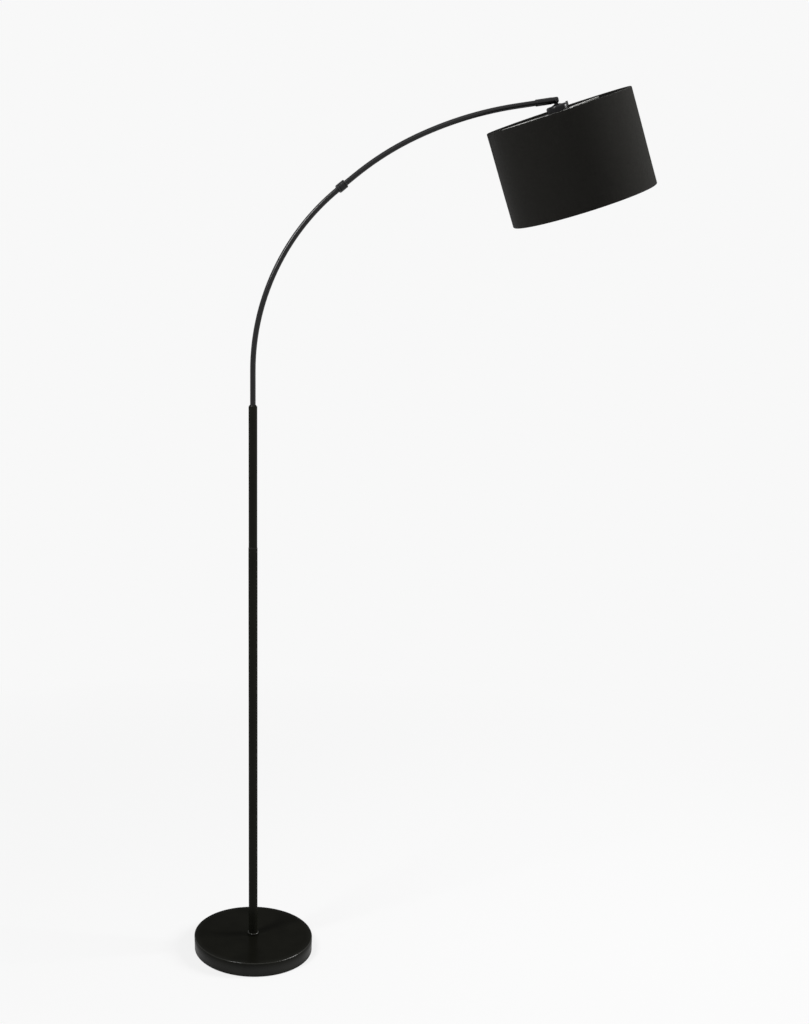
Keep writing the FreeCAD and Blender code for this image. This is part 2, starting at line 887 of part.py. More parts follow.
def arm_coupler():
    """Turned collar over the butt joint of the two arm tubes, grooved near each end."""
    length = size("coupler_length")
    edge = size("coupler_chamfer")
    outer = half("coupler_diameter")
    deep = outer - size("coupler_groove_depth")
    inset = size("coupler_groove_inset")
    wide = size("coupler_groove")
    body = turned(
        "arm_coupler",
        [
            (socket_radius, 0),
            (outer - edge, 0),
            (outer, edge),
            (outer, inset),
            (deep, inset + wide / 2),
            (outer, inset + wide),
            (outer, length - inset - wide),
            (deep, length - inset - wide / 2),
            (outer, length - inset),
            (outer, length - edge),
            (outer - edge, length),
            (socket_radius, length),
        ],
    )
    frame = arm_frame(coupler_point, coupler_heading, SIZES["coupler_length"] / 2)
    return keep(body, "arm_coupler", frame)


def arm_joiner():
    """Hollow spigot inside the butt joint of the two arm tubes."""
    outer = arm_bore_radius - size("joiner_gap")
    inner = outer - size("joiner_wall")
    length = size("joiner_length")
    edge = size("joiner_wall") / 2
    body = turned(
        "arm_joiner",
        [
            (inner, 0),
            (outer - edge, 0),
            (outer, edge),
            (outer, length - edge),
            (outer - edge, length),
            (inner, length),
        ],
    )
    frame = arm_frame(coupler_point, coupler_heading, SIZES["joiner_length"] / 2)
    return keep(body, "arm_joiner", frame)


# ---------------------------------------------------------------- knuckle

slot_half = half("tongue_thickness") + size("friction_washer_thickness") + size("hinge_play") * 2
pivot_distance = size("pivot_distance")


def end_sleeve():
    """Sleeve on the arm's end. Its blunt nose has a rounded edge and a slot for the tongue."""
    outer = half("sleeve_diameter")
    edge = size("sleeve_chamfer")
    tip = pivot_distance + size("sleeve_nose_reach")
    floor = size("sleeve_socket_depth") + size("slip_gap")
    lead = half("sleeve_lead_diameter")
    lead_end = floor + size("sleeve_lead_depth")
    body = turned(
        "end_sleeve",
        [
            (socket_radius, 0),
            (outer - edge, 0),
            (outer, edge),
            (outer, tip),
            (0, tip),
            (0, lead_end),
            (lead, lead_end),
            (lead, floor),
            (socket_radius, floor),
        ],
    )
    round_edges(body, "sleeve_nose", size("sleeve_nose_radius"), circle_at(outer, tip))
    slot_floor = pivot_distance - size("slot_behind_pivot")
    slot = rectangle(slot_half * -1, slot_half, slot_floor, tip + size("cut_margin"))
    cut_through(body, "tongue_slot", "YZ_Plane", slot)
    hole = disc(0, pivot_distance, half("hinge_screw_diameter") + size("slip_gap"))
    cut_through(body, "hinge_hole", "XZ_Plane", hole)
    for side, sign in (("front", -1), ("back", 1)):
        face = doc.addObject("Part::Cylinder", f"{side}_spot_face")
        face.setExpression("Radius", half("spot_face_diameter").text)
        face.setExpression("Height", outer.text)
        turn = FreeCAD.Rotation(X_AXIS, 90 if sign < 0 else -90)
        spot = FreeCAD.Vector(0, sign * SIZES["spot_face_span"] / 2, SIZES["pivot_distance"])
        face.Placement = FreeCAD.Placement(spot, turn)
        cut = doc.addObject("Part::Cut", f"end_sleeve_{side}")
        cut.Base = body
        cut.Tool = face
        doc.recompute()
        body = cut
    return keep(body, "end_sleeve", sleeve_frame)


def across_hinge(start):
    """A frame on the hinge's axis, this far along +Y, whose Z axis runs along +Y."""
    spot = pivot + Y_AXIS * start
    turn = FreeCAD.Rotation(Y_AXIS, arm_end_heading).multiply(FreeCAD.Rotation(X_AXIS, -90))
    return FreeCAD.Placement(spot, turn)


def hinge_screw():
    """Cap screw across the knuckle, its head in the front ear's spot face."""
    head = size("hinge_screw_head_height")
    grip = size("spot_face_span") + size("hinge_nut_thickness") + size("hinge_screw_end")
    radius = half("hinge_screw_diameter")
    total = head + grip
    socket = half("hinge_screw_socket")
    depth = size("hinge_screw_socket_depth")
    rim = half("hinge_screw_head")
    edge = size("screw_edge")
    body = turned(
        "hinge_screw",
        [
            (0, depth),
            (socket, depth),
            (socket, 0),
            (rim - edge, 0),
            (rim, edge),
            (rim, head),
            (radius, head),
            (radius, total - edge),
            (radius - edge, total),
            (0, total),
        ],
    )
    start = -SIZES["spot_face_span"] / 2 - SIZES["hinge_screw_head_height"]
    return keep(body, "hinge_screw", across_hinge(start))


def hinge_nut():
    flats, thick = size("hinge_nut_across_flats"), size("hinge_nut_thickness")
    bore = half("hinge_screw_diameter") + size("thread_gap")
    nut = hex_nut("hinge_nut", flats, thick, bore)
    return keep(nut, "hinge_nut", across_hinge(SIZES["spot_face_span"] / 2))


def friction_washers():
    """Two nylon washers, one each side of the tongue."""
    bore = half("hinge_screw_diameter") + size("slip_gap")
    rim = half("friction_washer_diameter")
    near = half("tongue_thickness") + size("hinge_play")
    far = near + size("friction_washer_thickness")
    pair = []
    for side, start in (("front", far.value * -1), ("back", near.value)):
        body = turned(
            f"{side}_friction_washer", ring(bore, rim, 0, size("friction_washer_thickness"))
        )
        body.Placement = across_hinge(start)
        pair.append(body)
    group = doc.addObject("Part::Compound", "friction_washers")
    group.Links = pair
    doc.recompute()
    return keep(group, "friction_washers")


shank_end = size("cup_top") + size("cup_height") + size("holder_cap_wall") + size("tongue_shank_length")


def knuckle_tongue():
    """Tongue with a round eye, a flat neck and a threaded shank below it."""
    body = new_body("knuckle_tongue")
    sketch = new_sketch(body, "tongue_outline", "XZ_Plane")
    neck = half("tongue_neck")
    radius = size("tongue_radius")
    foot = size("cup_top") + size("slip_gap")
    reach = math.sqrt(radius.value**2 - neck.value**2)
    left = FreeCAD.Vector(-neck.value, reach, 0)
    right = FreeCAD.Vector(neck.value, reach, 0)
    # The eye's outline runs round the far side of the pivot and down both sides of the neck.
    rim = Part.Circle(FreeCAD.Vector(0, 0, 0), Z_AXIS, radius.value)
    arc = Part.ArcOfCircle(rim, math.atan2(reach, -neck.value), math.atan2(reach, neck.value))
    low_left = FreeCAD.Vector(-neck.value, foot.value, 0)
    low_right = FreeCAD.Vector(neck.value, foot.value, 0)
    eye = sketch.addGeometry(arc, False)
    side_right = sketch.addGeometry(Part.LineSegment(right, low_right), False)
    base = sketch.addGeometry(Part.LineSegment(low_right, low_left), False)
    side_left = sketch.addGeometry(Part.LineSegment(low_left, left), False)
    sketch.addConstraint(Sketcher.Constraint("Coincident", eye, 3, -1, 1))
    sketch.addConstraint(Sketcher.Constraint("Coincident", eye, 2, side_right, 1))
    sketch.addConstraint(Sketcher.Constraint("Coincident", side_right, 2, base, 1))
    sketch.addConstraint(Sketcher.Constraint("Coincident", base, 2, side_left, 1))
    sketch.addConstraint(Sketcher.Constraint("Coincident", side_left, 2, eye, 1))
    sketch.addConstraint(Sketcher.Constraint("Vertical", side_right))
    sketch.addConstraint(Sketcher.Constraint("Vertical", side_left))
    bind(sketch, sketch.addConstraint(Sketcher.Constraint("Radius", eye, radius.value)), radius)
    pin_vertex(sketch, base, 1, neck, foot)
    pin_vertex(sketch, base, 2, neck * -1, foot)
    pad = body.newObject("PartDesign::Pad", "tongue_plate")
    pad.Profile = sketch
    pad.SideType = "Symmetric"
    pad.setExpression("Length", size("tongue_thickness").text)
    sketch.Visibility = False
    doc.recompute()
    hole = disc(0, 0, half("hinge_screw_diameter") + size("slip_gap"))
    cut_through(body, "tongue_hole", "XZ_Plane", hole)
    shank = new_sketch(body, "shank_outline", "XZ_Plane")
    edge = size("stud_edge")
    outline(
        shank,
        [
            (0, foot),
            (thread_radius, foot),
            (thread_radius, shank_end - edge),
            (thread_radius - edge, shank_end),
            (0, shank_end),
        ],
    )
    turn = body.newObject("PartDesign::Revolution", "tongue_shank")
    turn.Profile = shank
    turn.ReferenceAxis = (shank, ["V_Axis"])
    turn.Angle = 360
    shank.Visibility = False
    doc.recompute()
    return keep(body, "knuckle_tongue", head_frame)


# ---------------------------------------------------------------- lampholder and bulb

cap_top = size("cup_top") + size("cup_height")
cap_bottom = cap_top + size("holder_cap_height")


def neck_cup():
    """Low domed cup between the tongue and the lampholder's cap."""
    rim = half("cup_diameter")
    high = size("cup_height")
    body = turned(
        "neck_cup",
        [
            (tapped_radius, 0),
            (tapped_radius + size("cup_crown"), 0),
            (rim, high, size("cup_dome_radius")),
            (tapped_radius, high),
        ],
    )
    place = head_frame.multiply(at_height(size("cup_top")))
    return keep(body, "neck_cup", place)


def lampholder_cap():
    """Moulded cap: a flat crown with a rounded edge and a short straight side."""
    rim = half("holder_cap_diameter")
    wall = size("holder_cap_wall")
    edge = size("holder_cap_edge")
    high = size("holder_cap_height")
    body = turned(
        "lampholder_cap",
        [
            (tapped_radius, 0),
            (rim - edge, 0),
            (rim, edge, edge),
            (rim, high),
            (rim - wall, high),
            (rim - wall, wall),
            (tapped_radius, wall),
        ],
    )
    place = head_frame.multiply(at_height(cap_top))
    return keep(body, "lampholder_cap", place)


skirt_radius = half("holder_skirt_diameter")
skirt_bore = skirt_radius - size("holder_skirt_wall")
skirt_neck = size("holder_skirt_neck")
skirt_lip = size("holder_skirt_lip")
catch_seat = half("holder_cap_diameter") + size("slip_gap")
fitter_top = cap_bottom + skirt_lip + size("slip_gap")
fitter_bottom = fitter_top + size("fitter_ring_thickness") + size("slip_gap")
shell_seat = size("insulator_depth") + size("insulator_thickness")
contact_seat = shell_seat + size("insulator_boss_height")
bulb_tip = contact_seat + size("contact_height") + size("bulb_tip_gap")
glass_seat = bulb_tip + size("bulb_tip_height") + size("bulb_cap_length")


def shank_nut():
    flats, thick = size("shank_nut_across_flats"), size("shank_nut_thickness")
    nut = hex_nut("shank_nut", flats, thick, tapped_radius)
    place = head_frame.multiply(at_height(cap_top + size("holder_cap_wall")))
    return keep(nut, "shank_nut", place)


def lampholder_skirt():
    """Moulded skirt: a neck inside the cap, a shoulder under it and a long threaded barrel that
    the clamping ring screws onto. The catch that locks the cap stands up at its edge, on the
    side away from the pole."""
    inner_cap = half("holder_cap_diameter") - size("holder_cap_wall") - size("slip_gap")
    shoulder = half("holder_cap_diameter")
    catch_outer = catch_seat + size("catch_thickness")
    low = size("holder_skirt_length")
    edge = size("holder_skirt_end")
    body = turned(
        "lampholder_skirt",
        [
            (skirt_bore, 0),
            (inner_cap, 0),
            (inner_cap, skirt_neck),
            (shoulder, skirt_neck),
            (shoulder, skirt_neck + skirt_lip),
            (skirt_radius, skirt_neck + skirt_lip),
            (skirt_radius, low - edge),
            (skirt_radius - edge, low),
            (skirt_bore, low),
        ],
    )
    width = half("catch_width")
    sketch = new_sketch(body, "catch_outline", "XY_Plane")
    outline(
        sketch,
        [
            (catch_outer * -1, width * -1),
            (catch_outer * -1, width),
            (catch_seat * -1, width),
            (catch_seat * -1, width * -1),
        ],
    )
    tab = body.newObject("PartDesign::Pad", "catch_tab")
    tab.Profile = sketch
    tab.SideType = "Two sides"
    tab.setExpression("Length", (skirt_neck + skirt_lip).text)
    rise = size("holder_cap_height") - skirt_neck + size("catch_rise")
    tab.setExpression("Length2", rise.text)
    sketch.Visibility = False
    root = new_sketch(body, "catch_root_outline", "XY_Plane")
    outline(
        root,
        [
            (catch_outer * -1, width * -1),
            (catch_outer * -1, width),
            (skirt_radius * -1, width),
            (skirt_radius * -1, width * -1),
        ],
    )
    foot = body.newObject("PartDesign::Pad", "catch_foot")
    foot.Profile = root
    foot.SideType = "Two sides"
    foot.setExpression("Length", (skirt_neck + skirt_lip).text)
    foot.setExpression("Length2", (skirt_neck * -1).text)
    root.Visibility = False
    doc.recompute()
    return keep(body, "lampholder_skirt", head_frame.multiply(at_height(cap_bottom - skirt_neck)))


def clamp_ring():
    """Moulded ring screwed onto the skirt, ribbed for the fingers, that clamps the shade's
    spider against the shoulder."""
    bore = skirt_radius + size("thread_gap")
    flange = half("clamp_ring_diameter")
    barrel = half("clamp_ring_barrel")
    thick = size("clamp_ring_flange")
    high = size("clamp_ring_height")
    rib = half("clamp_ring_rib_width")
    body = turned(
        "clamp_ring",
        [(bore, 0), (flange, 0), (flange, thick), (barrel, thick), (barrel, high), (bore, high)],
    )
    sketch = new_sketch(body, "rib_outline", "XY_Plane")
    outer = barrel + size("clamp_ring_rib_depth")
    root = barrel - size("clamp_ring_rib_root")
    outline(sketch, [(root, rib * -1), (outer, rib * -1), (outer, rib), (root, rib)])
    pad = body.newObject("PartDesign::Pad", "finger_rib")
    pad.Profile = sketch
    pad.setExpression("Length", high.text)
    sketch.Visibility = False
    doc.recompute()
    pattern = body.newObject("PartDesign::PolarPattern", "finger_ribs")
    pattern.Originals = [pad]
    pattern.Axis = (sketch, ["N_Axis"])
    pattern.Angle = 360
    pattern.setExpression("Occurrences", size("clamp_ring_ribs").text)
    body.Tip = pattern
    doc.recompute()
    return keep(body, "clamp_ring", head_frame.multiply(at_height(fitter_bottom)))


def socket_insulator():
    """Ceramic seat at the bottom of the skirt, with a raised middle inside the screw shell."""
    rim = half("insulator_diameter")
    thick = size("insulator_thickness")
    boss = half("shell_diameter") - size("shell_lip") - size("slip_gap")
    top = thick + size("insulator_boss_height")
    body = turned(
        "socket_insulator",
        [(0, 0), (rim, 0), (rim, thick), (boss, thick), (boss, top), (0, top)],
    )
    place = head_frame.multiply(at_height(size("insulator_depth")))
    return keep(body, "socket_insulator", place)


def screw_shell():
    """Plated shell that the bulb screws into, with an inner lip on the insulator."""
    outer = half("shell_diameter")
    lip = outer - size("shell_lip")
    wall = size("shell_wall")
    length = size("shell_length")
    body = turned(
        "screw_shell",
        [
            (lip, 0),
            (outer, 0),
            (outer, length),
            (outer - wall, length),
            (outer - wall, wall),
            (lip, wall),
        ],
    )
    return keep(body, "screw_shell", head_frame.multiply(at_height(shell_seat)))


def center_contact():
    """Bent spring strip on the insulator that touches the bulb's tip."""
    body = new_body("center_contact")
    thick = size("contact_thickness")
    high = size("contact_height")
    foot = size("contact_foot")
    ramp = size("contact_ramp")
    knee = size("contact_knee")
    # The land lies under the bulb's tip, with half its length each side of the axis.
    land = half("contact_land")
    toe = (land + ramp + foot) * -1
    bend = (land + ramp) * -1
    sketch = new_sketch(body, "contact_outline", "XZ_Plane")
    outline(
        sketch,
        [
            (toe, 0),
            (bend, 0),
            (land * -1, high - thick),
            (land, high - thick),
            (land, high),
            (land * -1 - knee, high),
            (bend - knee, thick),
            (toe, thick),
        ],
    )
    pad = body.newObject("PartDesign::Pad", "contact_strip")
    pad.Profile = sketch
    pad.SideType = "Symmetric"
    pad.setExpression("Length", size("contact_width").text)
    sketch.Visibility = False
    doc.recompute()
    return keep(body, "center_contact", head_frame.multiply(at_height(contact_seat)))


def bulb_cap():
    """Screw cap of the bulb: a tip, a black cone of glass and a plated barrel."""
    tip = half("bulb_tip_diameter")
    rise = size("bulb_tip_height")
    rim = half("bulb_cap_diameter")
    length = rise + size("bulb_cap_length")
    wall = size("bulb_cap_wall")
    step = size("bulb_cone_step")
    cone = rise + size("bulb_cone_height")
    body = turned(
        "bulb_cap",
        [
            (0, 0),
            (tip, 0),
            (tip + size("bulb_tip_flare"), rise),
            (rim - step, cone),
            (rim, cone + step),
            (rim, length),
            (rim - wall, length),
            (rim - wall, cone + step + wall),
            (0, cone + step + wall),
        ],
    )
    return keep(body, "bulb_cap", head_frame.multiply(at_height(bulb_tip)))


def bulb_outline(radius, neck, middle, start):
    """One side of the glass: a neck that flares in a hollow curve into a ball. The flare meets
    the ball where the ball's slope is 3 in 4, so its radius is 5 times what it widens by."""
    shoulder = radius * 0.8
    flare = (shoulder - neck) * 5
    flare_start = middle - radius * 0.6 - (shoulder - neck) * 3
    return [
        (neck, start),
        (neck, flare_start),
        (shoulder, middle - radius * 0.6, flare * -1),
        (0, middle + radius, radius),
    ]


def bulb_glass():
    """Frosted glass envelope, open at the neck, where the cap closes it."""
    radius = half("bulb_diameter")
    neck = half("bulb_neck_diameter")
    wall = size("bulb_glass_wall")
    middle = size("bulb_glass_length") - radius
    outside = bulb_outline(radius, neck, middle, 0)
    inside = bulb_outline(radius - wall, neck - wall, middle, 0)
    # The inside is walked back from the ball to the neck, so each arc is drawn the other way.
    flare = inside[2][2] * -1
    body = turned(
        "bulb_glass",
        outside
        + [
            (0, inside[3][1]),
            (inside[2][0], inside[2][1], inside[3][2] * -1),
            (inside[1][0], inside[1][1], flare),
            (inside[0][0], inside[0][1]),
        ],
    )
    return keep(body, "bulb_glass", head_frame.multiply(at_height(glass_seat)))


# ---------------------------------------------------------------- shade

fabric_outer = half("shade_diameter")
fabric_inner = fabric_outer - size("fabric_thickness")
lining_outer = fabric_inner - size("wire_gap")
lining_inner = lining_outer - size("lining_thickness")
wire_radius = half("wire_diameter")
wire_ring_radius = lining_inner - size("wire_gap") - wire_radius
hem_inner = wire_ring_radius - wire_radius - size("wire_gap") - size("hem_thickness")
shade_top = size("shade_top_drop")
shade_bottom = shade_top + size("shade_height")
wire_inset = size("hem_thickness") + size("wire_gap") + wire_radius
lining_inset = size("hem_thickness") + size("wire_gap")


def shade_fabric():
    """Drum of woven cloth."""
    body = turned("shade_fabric", ring(fabric_inner, fabric_outer, 0, size("shade_height")))
    return keep(body, "shade_fabric", head_frame.multiply(at_height(shade_top)))


def shade_lining():
    """Stiff pale plastic film inside the cloth, between the hems."""
    high = size("shade_height") - lining_inset * 2
    body = turned("shade_lining", ring(lining_inner, lining_outer, 0, high))
    return keep(body, "shade_lining", head_frame.multiply(at_height(shade_top + lining_inset)))


def hem(name):
    """Cloth edge rolled over a wire ring and tucked down inside it."""
    thick = size("hem_thickness")
    drop = size("hem_drop")
    return turned(
        name,
        [
            (hem_inner, 0),
            (lining_outer, 0),
            (lining_outer, thick),
            (hem_inner + thick, thick),
            (hem_inner + thick, drop),
            (hem_inner, drop),
        ],
    )


def wire_ring(name, height):
    """Round steel wire bent to a ring and butt welded."""
    torus = doc.addObject("Part::Torus", name)
    torus.setExpression("Radius1", wire_ring_radius.text)
    torus.setExpression("Radius2", wire_radius.text)
    torus.setExpression("Placement.Base.z", height.text)
    return torus


def spider_spoke(name, number, radius, start, height):
    """A straight round bar from the fitter ring out to the wire ring."""
    spoke = doc.addObject("Part::Cylinder", f"{name}_{number}")
    spoke.setExpression("Radius", radius.text)
    spoke.setExpression("Height", (wire_ring_radius - start).text)
    angle = SIZES["spider_first_angle"] + 360 * number / SIZES["spider_arms"]
    turn = FreeCAD.Rotation(Z_AXIS, angle)
    lay = turn.multiply(FreeCAD.Rotation(Y_AXIS, 90))
    spot = turn.multVec(FreeCAD.Vector(start.value, 0, 0))
    spot.z = height.value
    spoke.Placement = FreeCAD.Placement(spot, lay)
    return spoke


def shade_spider():
    """Fitter ring, straight arms and the top wire ring, welded into one frame."""
    thick = size("fitter_ring_thickness")
    middle = fitter_top - shade_top + thick / 2
    fitter = doc.addObject("Part::Cylinder", "fitter_disc")
    fitter.setExpression("Radius", half("fitter_ring_diameter").text)
    fitter.setExpression("Height", thick.text)
    fitter.setExpression("Placement.Base.z", (fitter_top - shade_top).text)
    start = half("fitter_ring_diameter") - size("spider_arm_lap")
    bars = [
        spider_spoke("spider_arm", number, half("spider_wire_diameter"), start, middle)
        for number in range(int(SIZES["spider_arms"]))
    ]
    frame = doc.addObject("Part::MultiFuse", "spider_frame")
    frame.Shapes = [fitter, wire_ring("top_wire", wire_inset)] + bars
    bore = doc.addObject("Part::Cylinder", "fitter_bore")
    bore.setExpression("Radius", (skirt_radius + size("slip_gap")).text)
    bore.setExpression("Height", (thick + size("cut_margin") * 2).text)
    bore.setExpression("Placement.Base.z", (fitter_top - shade_top - size("cut_margin")).text)
    spider = doc.addObject("Part::Cut", "shade_spider")
    spider.Base = frame
    spider.Tool = bore
    doc.recompute()
    return keep(spider, "shade_spider", head_frame.multiply(at_height(shade_top)))


def top_hem():
    """The upper hem, slit where the spider's arms pass."""
    radius = half("spider_wire_diameter") + size("hem_slit_gap")
    height = fitter_top - shade_top + half("fitter_ring_thickness")
    start = hem_inner - size("hem_slit_lead")
    cutters = doc.addObject("Part::MultiFuse", "hem_slits")
    cutters.Shapes = [
        spider_spoke("hem_slit", number, radius, start, height)
        for number in range(int(SIZES["spider_arms"]))
    ]
    cut = doc.addObject("Part::Cut", "top_hem")
    cut.Base = hem("top_hem_ring")
    cut.Tool = cutters
    doc.recompute()
    return keep(cut, "top_hem", head_frame.multiply(at_height(shade_top)))


def bottom_hem():
    body = hem("bottom_hem")
    flip = FreeCAD.Placement(
        FreeCAD.Vector(0, 0, shade_bottom.value), FreeCAD.Rotation(X_AXIS, 180)
    )
    return keep(body, "bottom_hem", head_frame.multiply(flip))


def bottom_wire_ring():
    torus = wire_ring("bottom_wire_ring", as_size(0))
    doc.recompute()
    place = head_frame.multiply(at_height(shade_bottom - wire_inset))
    torus.setExpression("Placement.Base.z", None)
    return keep(torus, "bottom_wire_ring", place)


def build_all():
    floor_pad()
    base_weight()
    base_cover()
    cord_grommet()
    washer("flat_washer", size("washer_diameter"), size("washer_thickness"), washer_seat)
    spring_washer()
    stud_nut()
    center_stud()
    foot_collar()
    pole()
    drill_upper_pole()
    pole_top_bushing()
    arm_set_screw()
    lower_arm_tube()
    upper_arm_tube()
    arm_coupler()
    arm_joiner()
    end_sleeve()
    hinge_screw()
    hinge_nut()
    friction_washers()
    knuckle_tongue()
    neck_cup()
    lampholder_cap()
    shank_nut()
    lampholder_skirt()
    clamp_ring()
    socket_insulator()
    screw_shell()
    center_contact()
    bulb_cap()
    bulb_glass()
    shade_fabric()
    shade_lining()
    shade_spider()
    top_hem()
    bottom_hem()
    bottom_wire_ring()


def write_parts():
    """Checks every object and shape, then writes one file for each sub-part."""
    for item in doc.Objects:
        if "Invalid" in item.State or "Error" in item.State:
            raise RuntimeError(f"{item.Label}: {item.State}")
    for part in PARTS:
        if part.Shape.isNull() or not part.Shape.isValid():
            raise RuntimeError(f"{part.Label} has no valid shape")
    os.makedirs("parts", exist_ok=True)
    for part in PARTS:
        part.Shape.exportStep(os.path.join("parts", f"{part.Label}.step"))
        print(f"{part.Label}: {len(part.Shape.Solids)} solid, {part.Shape.Volume:.0f} mm3")


build_all()
doc.recompute()
write_parts()
for name, spot in (("pivot", pivot), ("arm axis foot", FreeCAD.Vector(0, 0, arm_foot.value))):
    print(f"{name}: {spot.x:.3f} {spot.y:.3f} {spot.z:.3f}")
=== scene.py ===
import json
import math

import bmesh
import bpy
from mathutils import Matrix, Vector


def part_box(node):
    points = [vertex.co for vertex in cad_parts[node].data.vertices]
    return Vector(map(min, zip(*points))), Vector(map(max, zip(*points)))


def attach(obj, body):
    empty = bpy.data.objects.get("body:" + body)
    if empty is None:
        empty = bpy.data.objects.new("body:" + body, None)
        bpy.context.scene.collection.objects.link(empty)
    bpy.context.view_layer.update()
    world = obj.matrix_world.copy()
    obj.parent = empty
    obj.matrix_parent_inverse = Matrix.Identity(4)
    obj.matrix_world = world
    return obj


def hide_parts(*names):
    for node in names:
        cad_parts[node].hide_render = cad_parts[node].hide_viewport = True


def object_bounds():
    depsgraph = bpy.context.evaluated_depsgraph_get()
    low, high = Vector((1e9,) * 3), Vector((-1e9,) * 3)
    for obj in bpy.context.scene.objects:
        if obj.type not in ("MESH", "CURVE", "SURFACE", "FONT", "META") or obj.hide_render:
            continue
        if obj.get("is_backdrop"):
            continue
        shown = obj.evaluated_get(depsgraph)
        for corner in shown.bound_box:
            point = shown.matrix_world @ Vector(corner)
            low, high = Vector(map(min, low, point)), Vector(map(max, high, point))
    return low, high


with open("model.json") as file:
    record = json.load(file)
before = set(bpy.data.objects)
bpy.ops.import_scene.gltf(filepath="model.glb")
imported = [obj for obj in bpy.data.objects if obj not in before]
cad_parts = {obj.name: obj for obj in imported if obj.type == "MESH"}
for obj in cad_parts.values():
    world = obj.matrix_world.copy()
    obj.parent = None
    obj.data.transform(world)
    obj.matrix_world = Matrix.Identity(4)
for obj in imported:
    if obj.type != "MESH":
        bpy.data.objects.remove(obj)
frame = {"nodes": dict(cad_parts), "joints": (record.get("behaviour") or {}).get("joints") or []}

cad_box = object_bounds()
nodes = frame["nodes"]
joints = {joint["name"]: joint for joint in frame["joints"]}

# ---------------------------------------------------------------- camera
# The view of the photograph: a little to the left of the arm's plane, at chest height, with a
# long lens and the picture shifted so that the pole stands upright.
camera_place = Vector((-0.525, -2.7293, 1.4798))
camera_yaw = math.radians(9.223)
camera_pitch = math.radians(8.775)
camera_roll = math.radians(-0.282)
picture_height = 1024
sensor_height = 36.0
focal_pixels = 1358.3
shift_pixels = (190.6, -39.45)
farthest = 60.0

ahead = Vector((
    math.sin(camera_yaw) * math.cos(camera_pitch),
    math.cos(camera_yaw) * math.cos(camera_pitch),
    -math.sin(camera_pitch),
))
level = Vector((math.cos(camera_yaw), -math.sin(camera_yaw), 0))
upright = level.cross(ahead)
across = level * math.cos(camera_roll) + upright * math.sin(camera_roll)
upward = upright * math.cos(camera_roll) - level * math.sin(camera_roll)

lens = bpy.data.cameras.new("photo_camera")
lens.sensor_fit = "VERTICAL"
lens.sensor_height = sensor_height
lens.lens = focal_pixels * sensor_height / picture_height
lens.shift_x = shift_pixels[0] / picture_height
lens.shift_y = shift_pixels[1] / picture_height
lens.clip_end = farthest
camera = bpy.data.objects.new("photo_camera", lens)
turn = Matrix((across, upward, -ahead)).transposed().to_4x4()
camera.matrix_world = Matrix.Translation(camera_place) @ turn
bpy.context.scene.collection.objects.link(camera)
bpy.context.scene.camera = camera

# ---------------------------------------------------------------- base weight and its fastenings
# A cast iron disc fills the base, with a closed-cell foam pad glued under it. The hollow stud
# passes through the disc, and a nut, a spring washer and a flat washer, all zinc plated, pull
# the pole down on it from below.


class Tree:
    """A node tree with short calls for adding and joining its nodes."""

    def __init__(self, tree):
        self.tree = tree

    def add(self, kind, settings=None, **inputs):
        """A new node with its properties set, and its inputs by name, a space as an underscore."""
        node = self.tree.nodes.new(kind)
        for key, value in (settings or {}).items():
            setattr(node, key, value)
        for key, value in inputs.items():
            self.feed(node, key.replace("_", " "), value)
        return node

    def feed(self, node, key, value):
        """Joins a socket to an input, or sets it there. The key is a name, or an index as text."""
        socket = node.inputs[int(key) if key.isdigit() else key]
        if isinstance(value, bpy.types.NodeSocket):
            self.tree.links.new(value, socket)
        else:
            socket.default_value = value

    def math(self, operation, *values):
        node = self.tree.nodes.new("ShaderNodeMath")
        node.operation = operation
        for index, value in enumerate(values):
            self.feed(node, str(index), value)
        return node.outputs[0]

    def vector(self, operation, *values, out="Vector"):
        node = self.tree.nodes.new("ShaderNodeVectorMath")
        node.operation = operation
        for index, value in enumerate(values):
            self.feed(node, str(index), value)
        return node.outputs[out]

    def span(self, value, low, high, start=0.0, end=1.0, shape="LINEAR"):
        """The value stretched from start..end to low..high."""
        node = self.add("ShaderNodeMapRange", {"interpolation_type": shape}, Value=value)
        bounds = {"From Min": start, "From Max": end, "To Min": low, "To Max": high}
        for key, bound in bounds.items():
            self.feed(node, key, bound)
        return node.outputs["Result"]

    def colours(self, factor, dark, light):
        """A colour between dark and light, by the factor."""
        node = self.add("ShaderNodeMix", {"data_type": "RGBA"})
        factor_socket, dark_socket, light_socket, mixed_socket = 0, 6, 7, 2
        self.feed(node, str(factor_socket), factor)
        node.inputs[dark_socket].default_value = (*dark, 1)
        node.inputs[light_socket].default_value = (*light, 1)
        return node.outputs[mixed_socket]

    def group(self, tree, **inputs):
        """A group node with its inputs set."""
        return self.add("ShaderNodeGroup", {"node_tree": tree}, **inputs)


def shader_group(name, inputs, outputs):
    """An empty shader node group with named sockets, and its input and output nodes."""
    tree = bpy.data.node_groups.new(name, "ShaderNodeTree")
    for kind, label, value in inputs:
        socket = tree.interface.new_socket(label, in_out="INPUT", socket_type=kind)
        if value is not None:
            socket.default_value = value
    for kind, label in outputs:
        tree.interface.new_socket(label, in_out="OUTPUT", socket_type=kind)
    build = Tree(tree)
    return build, build.add("NodeGroupInput").outputs, build.add("NodeGroupOutput")


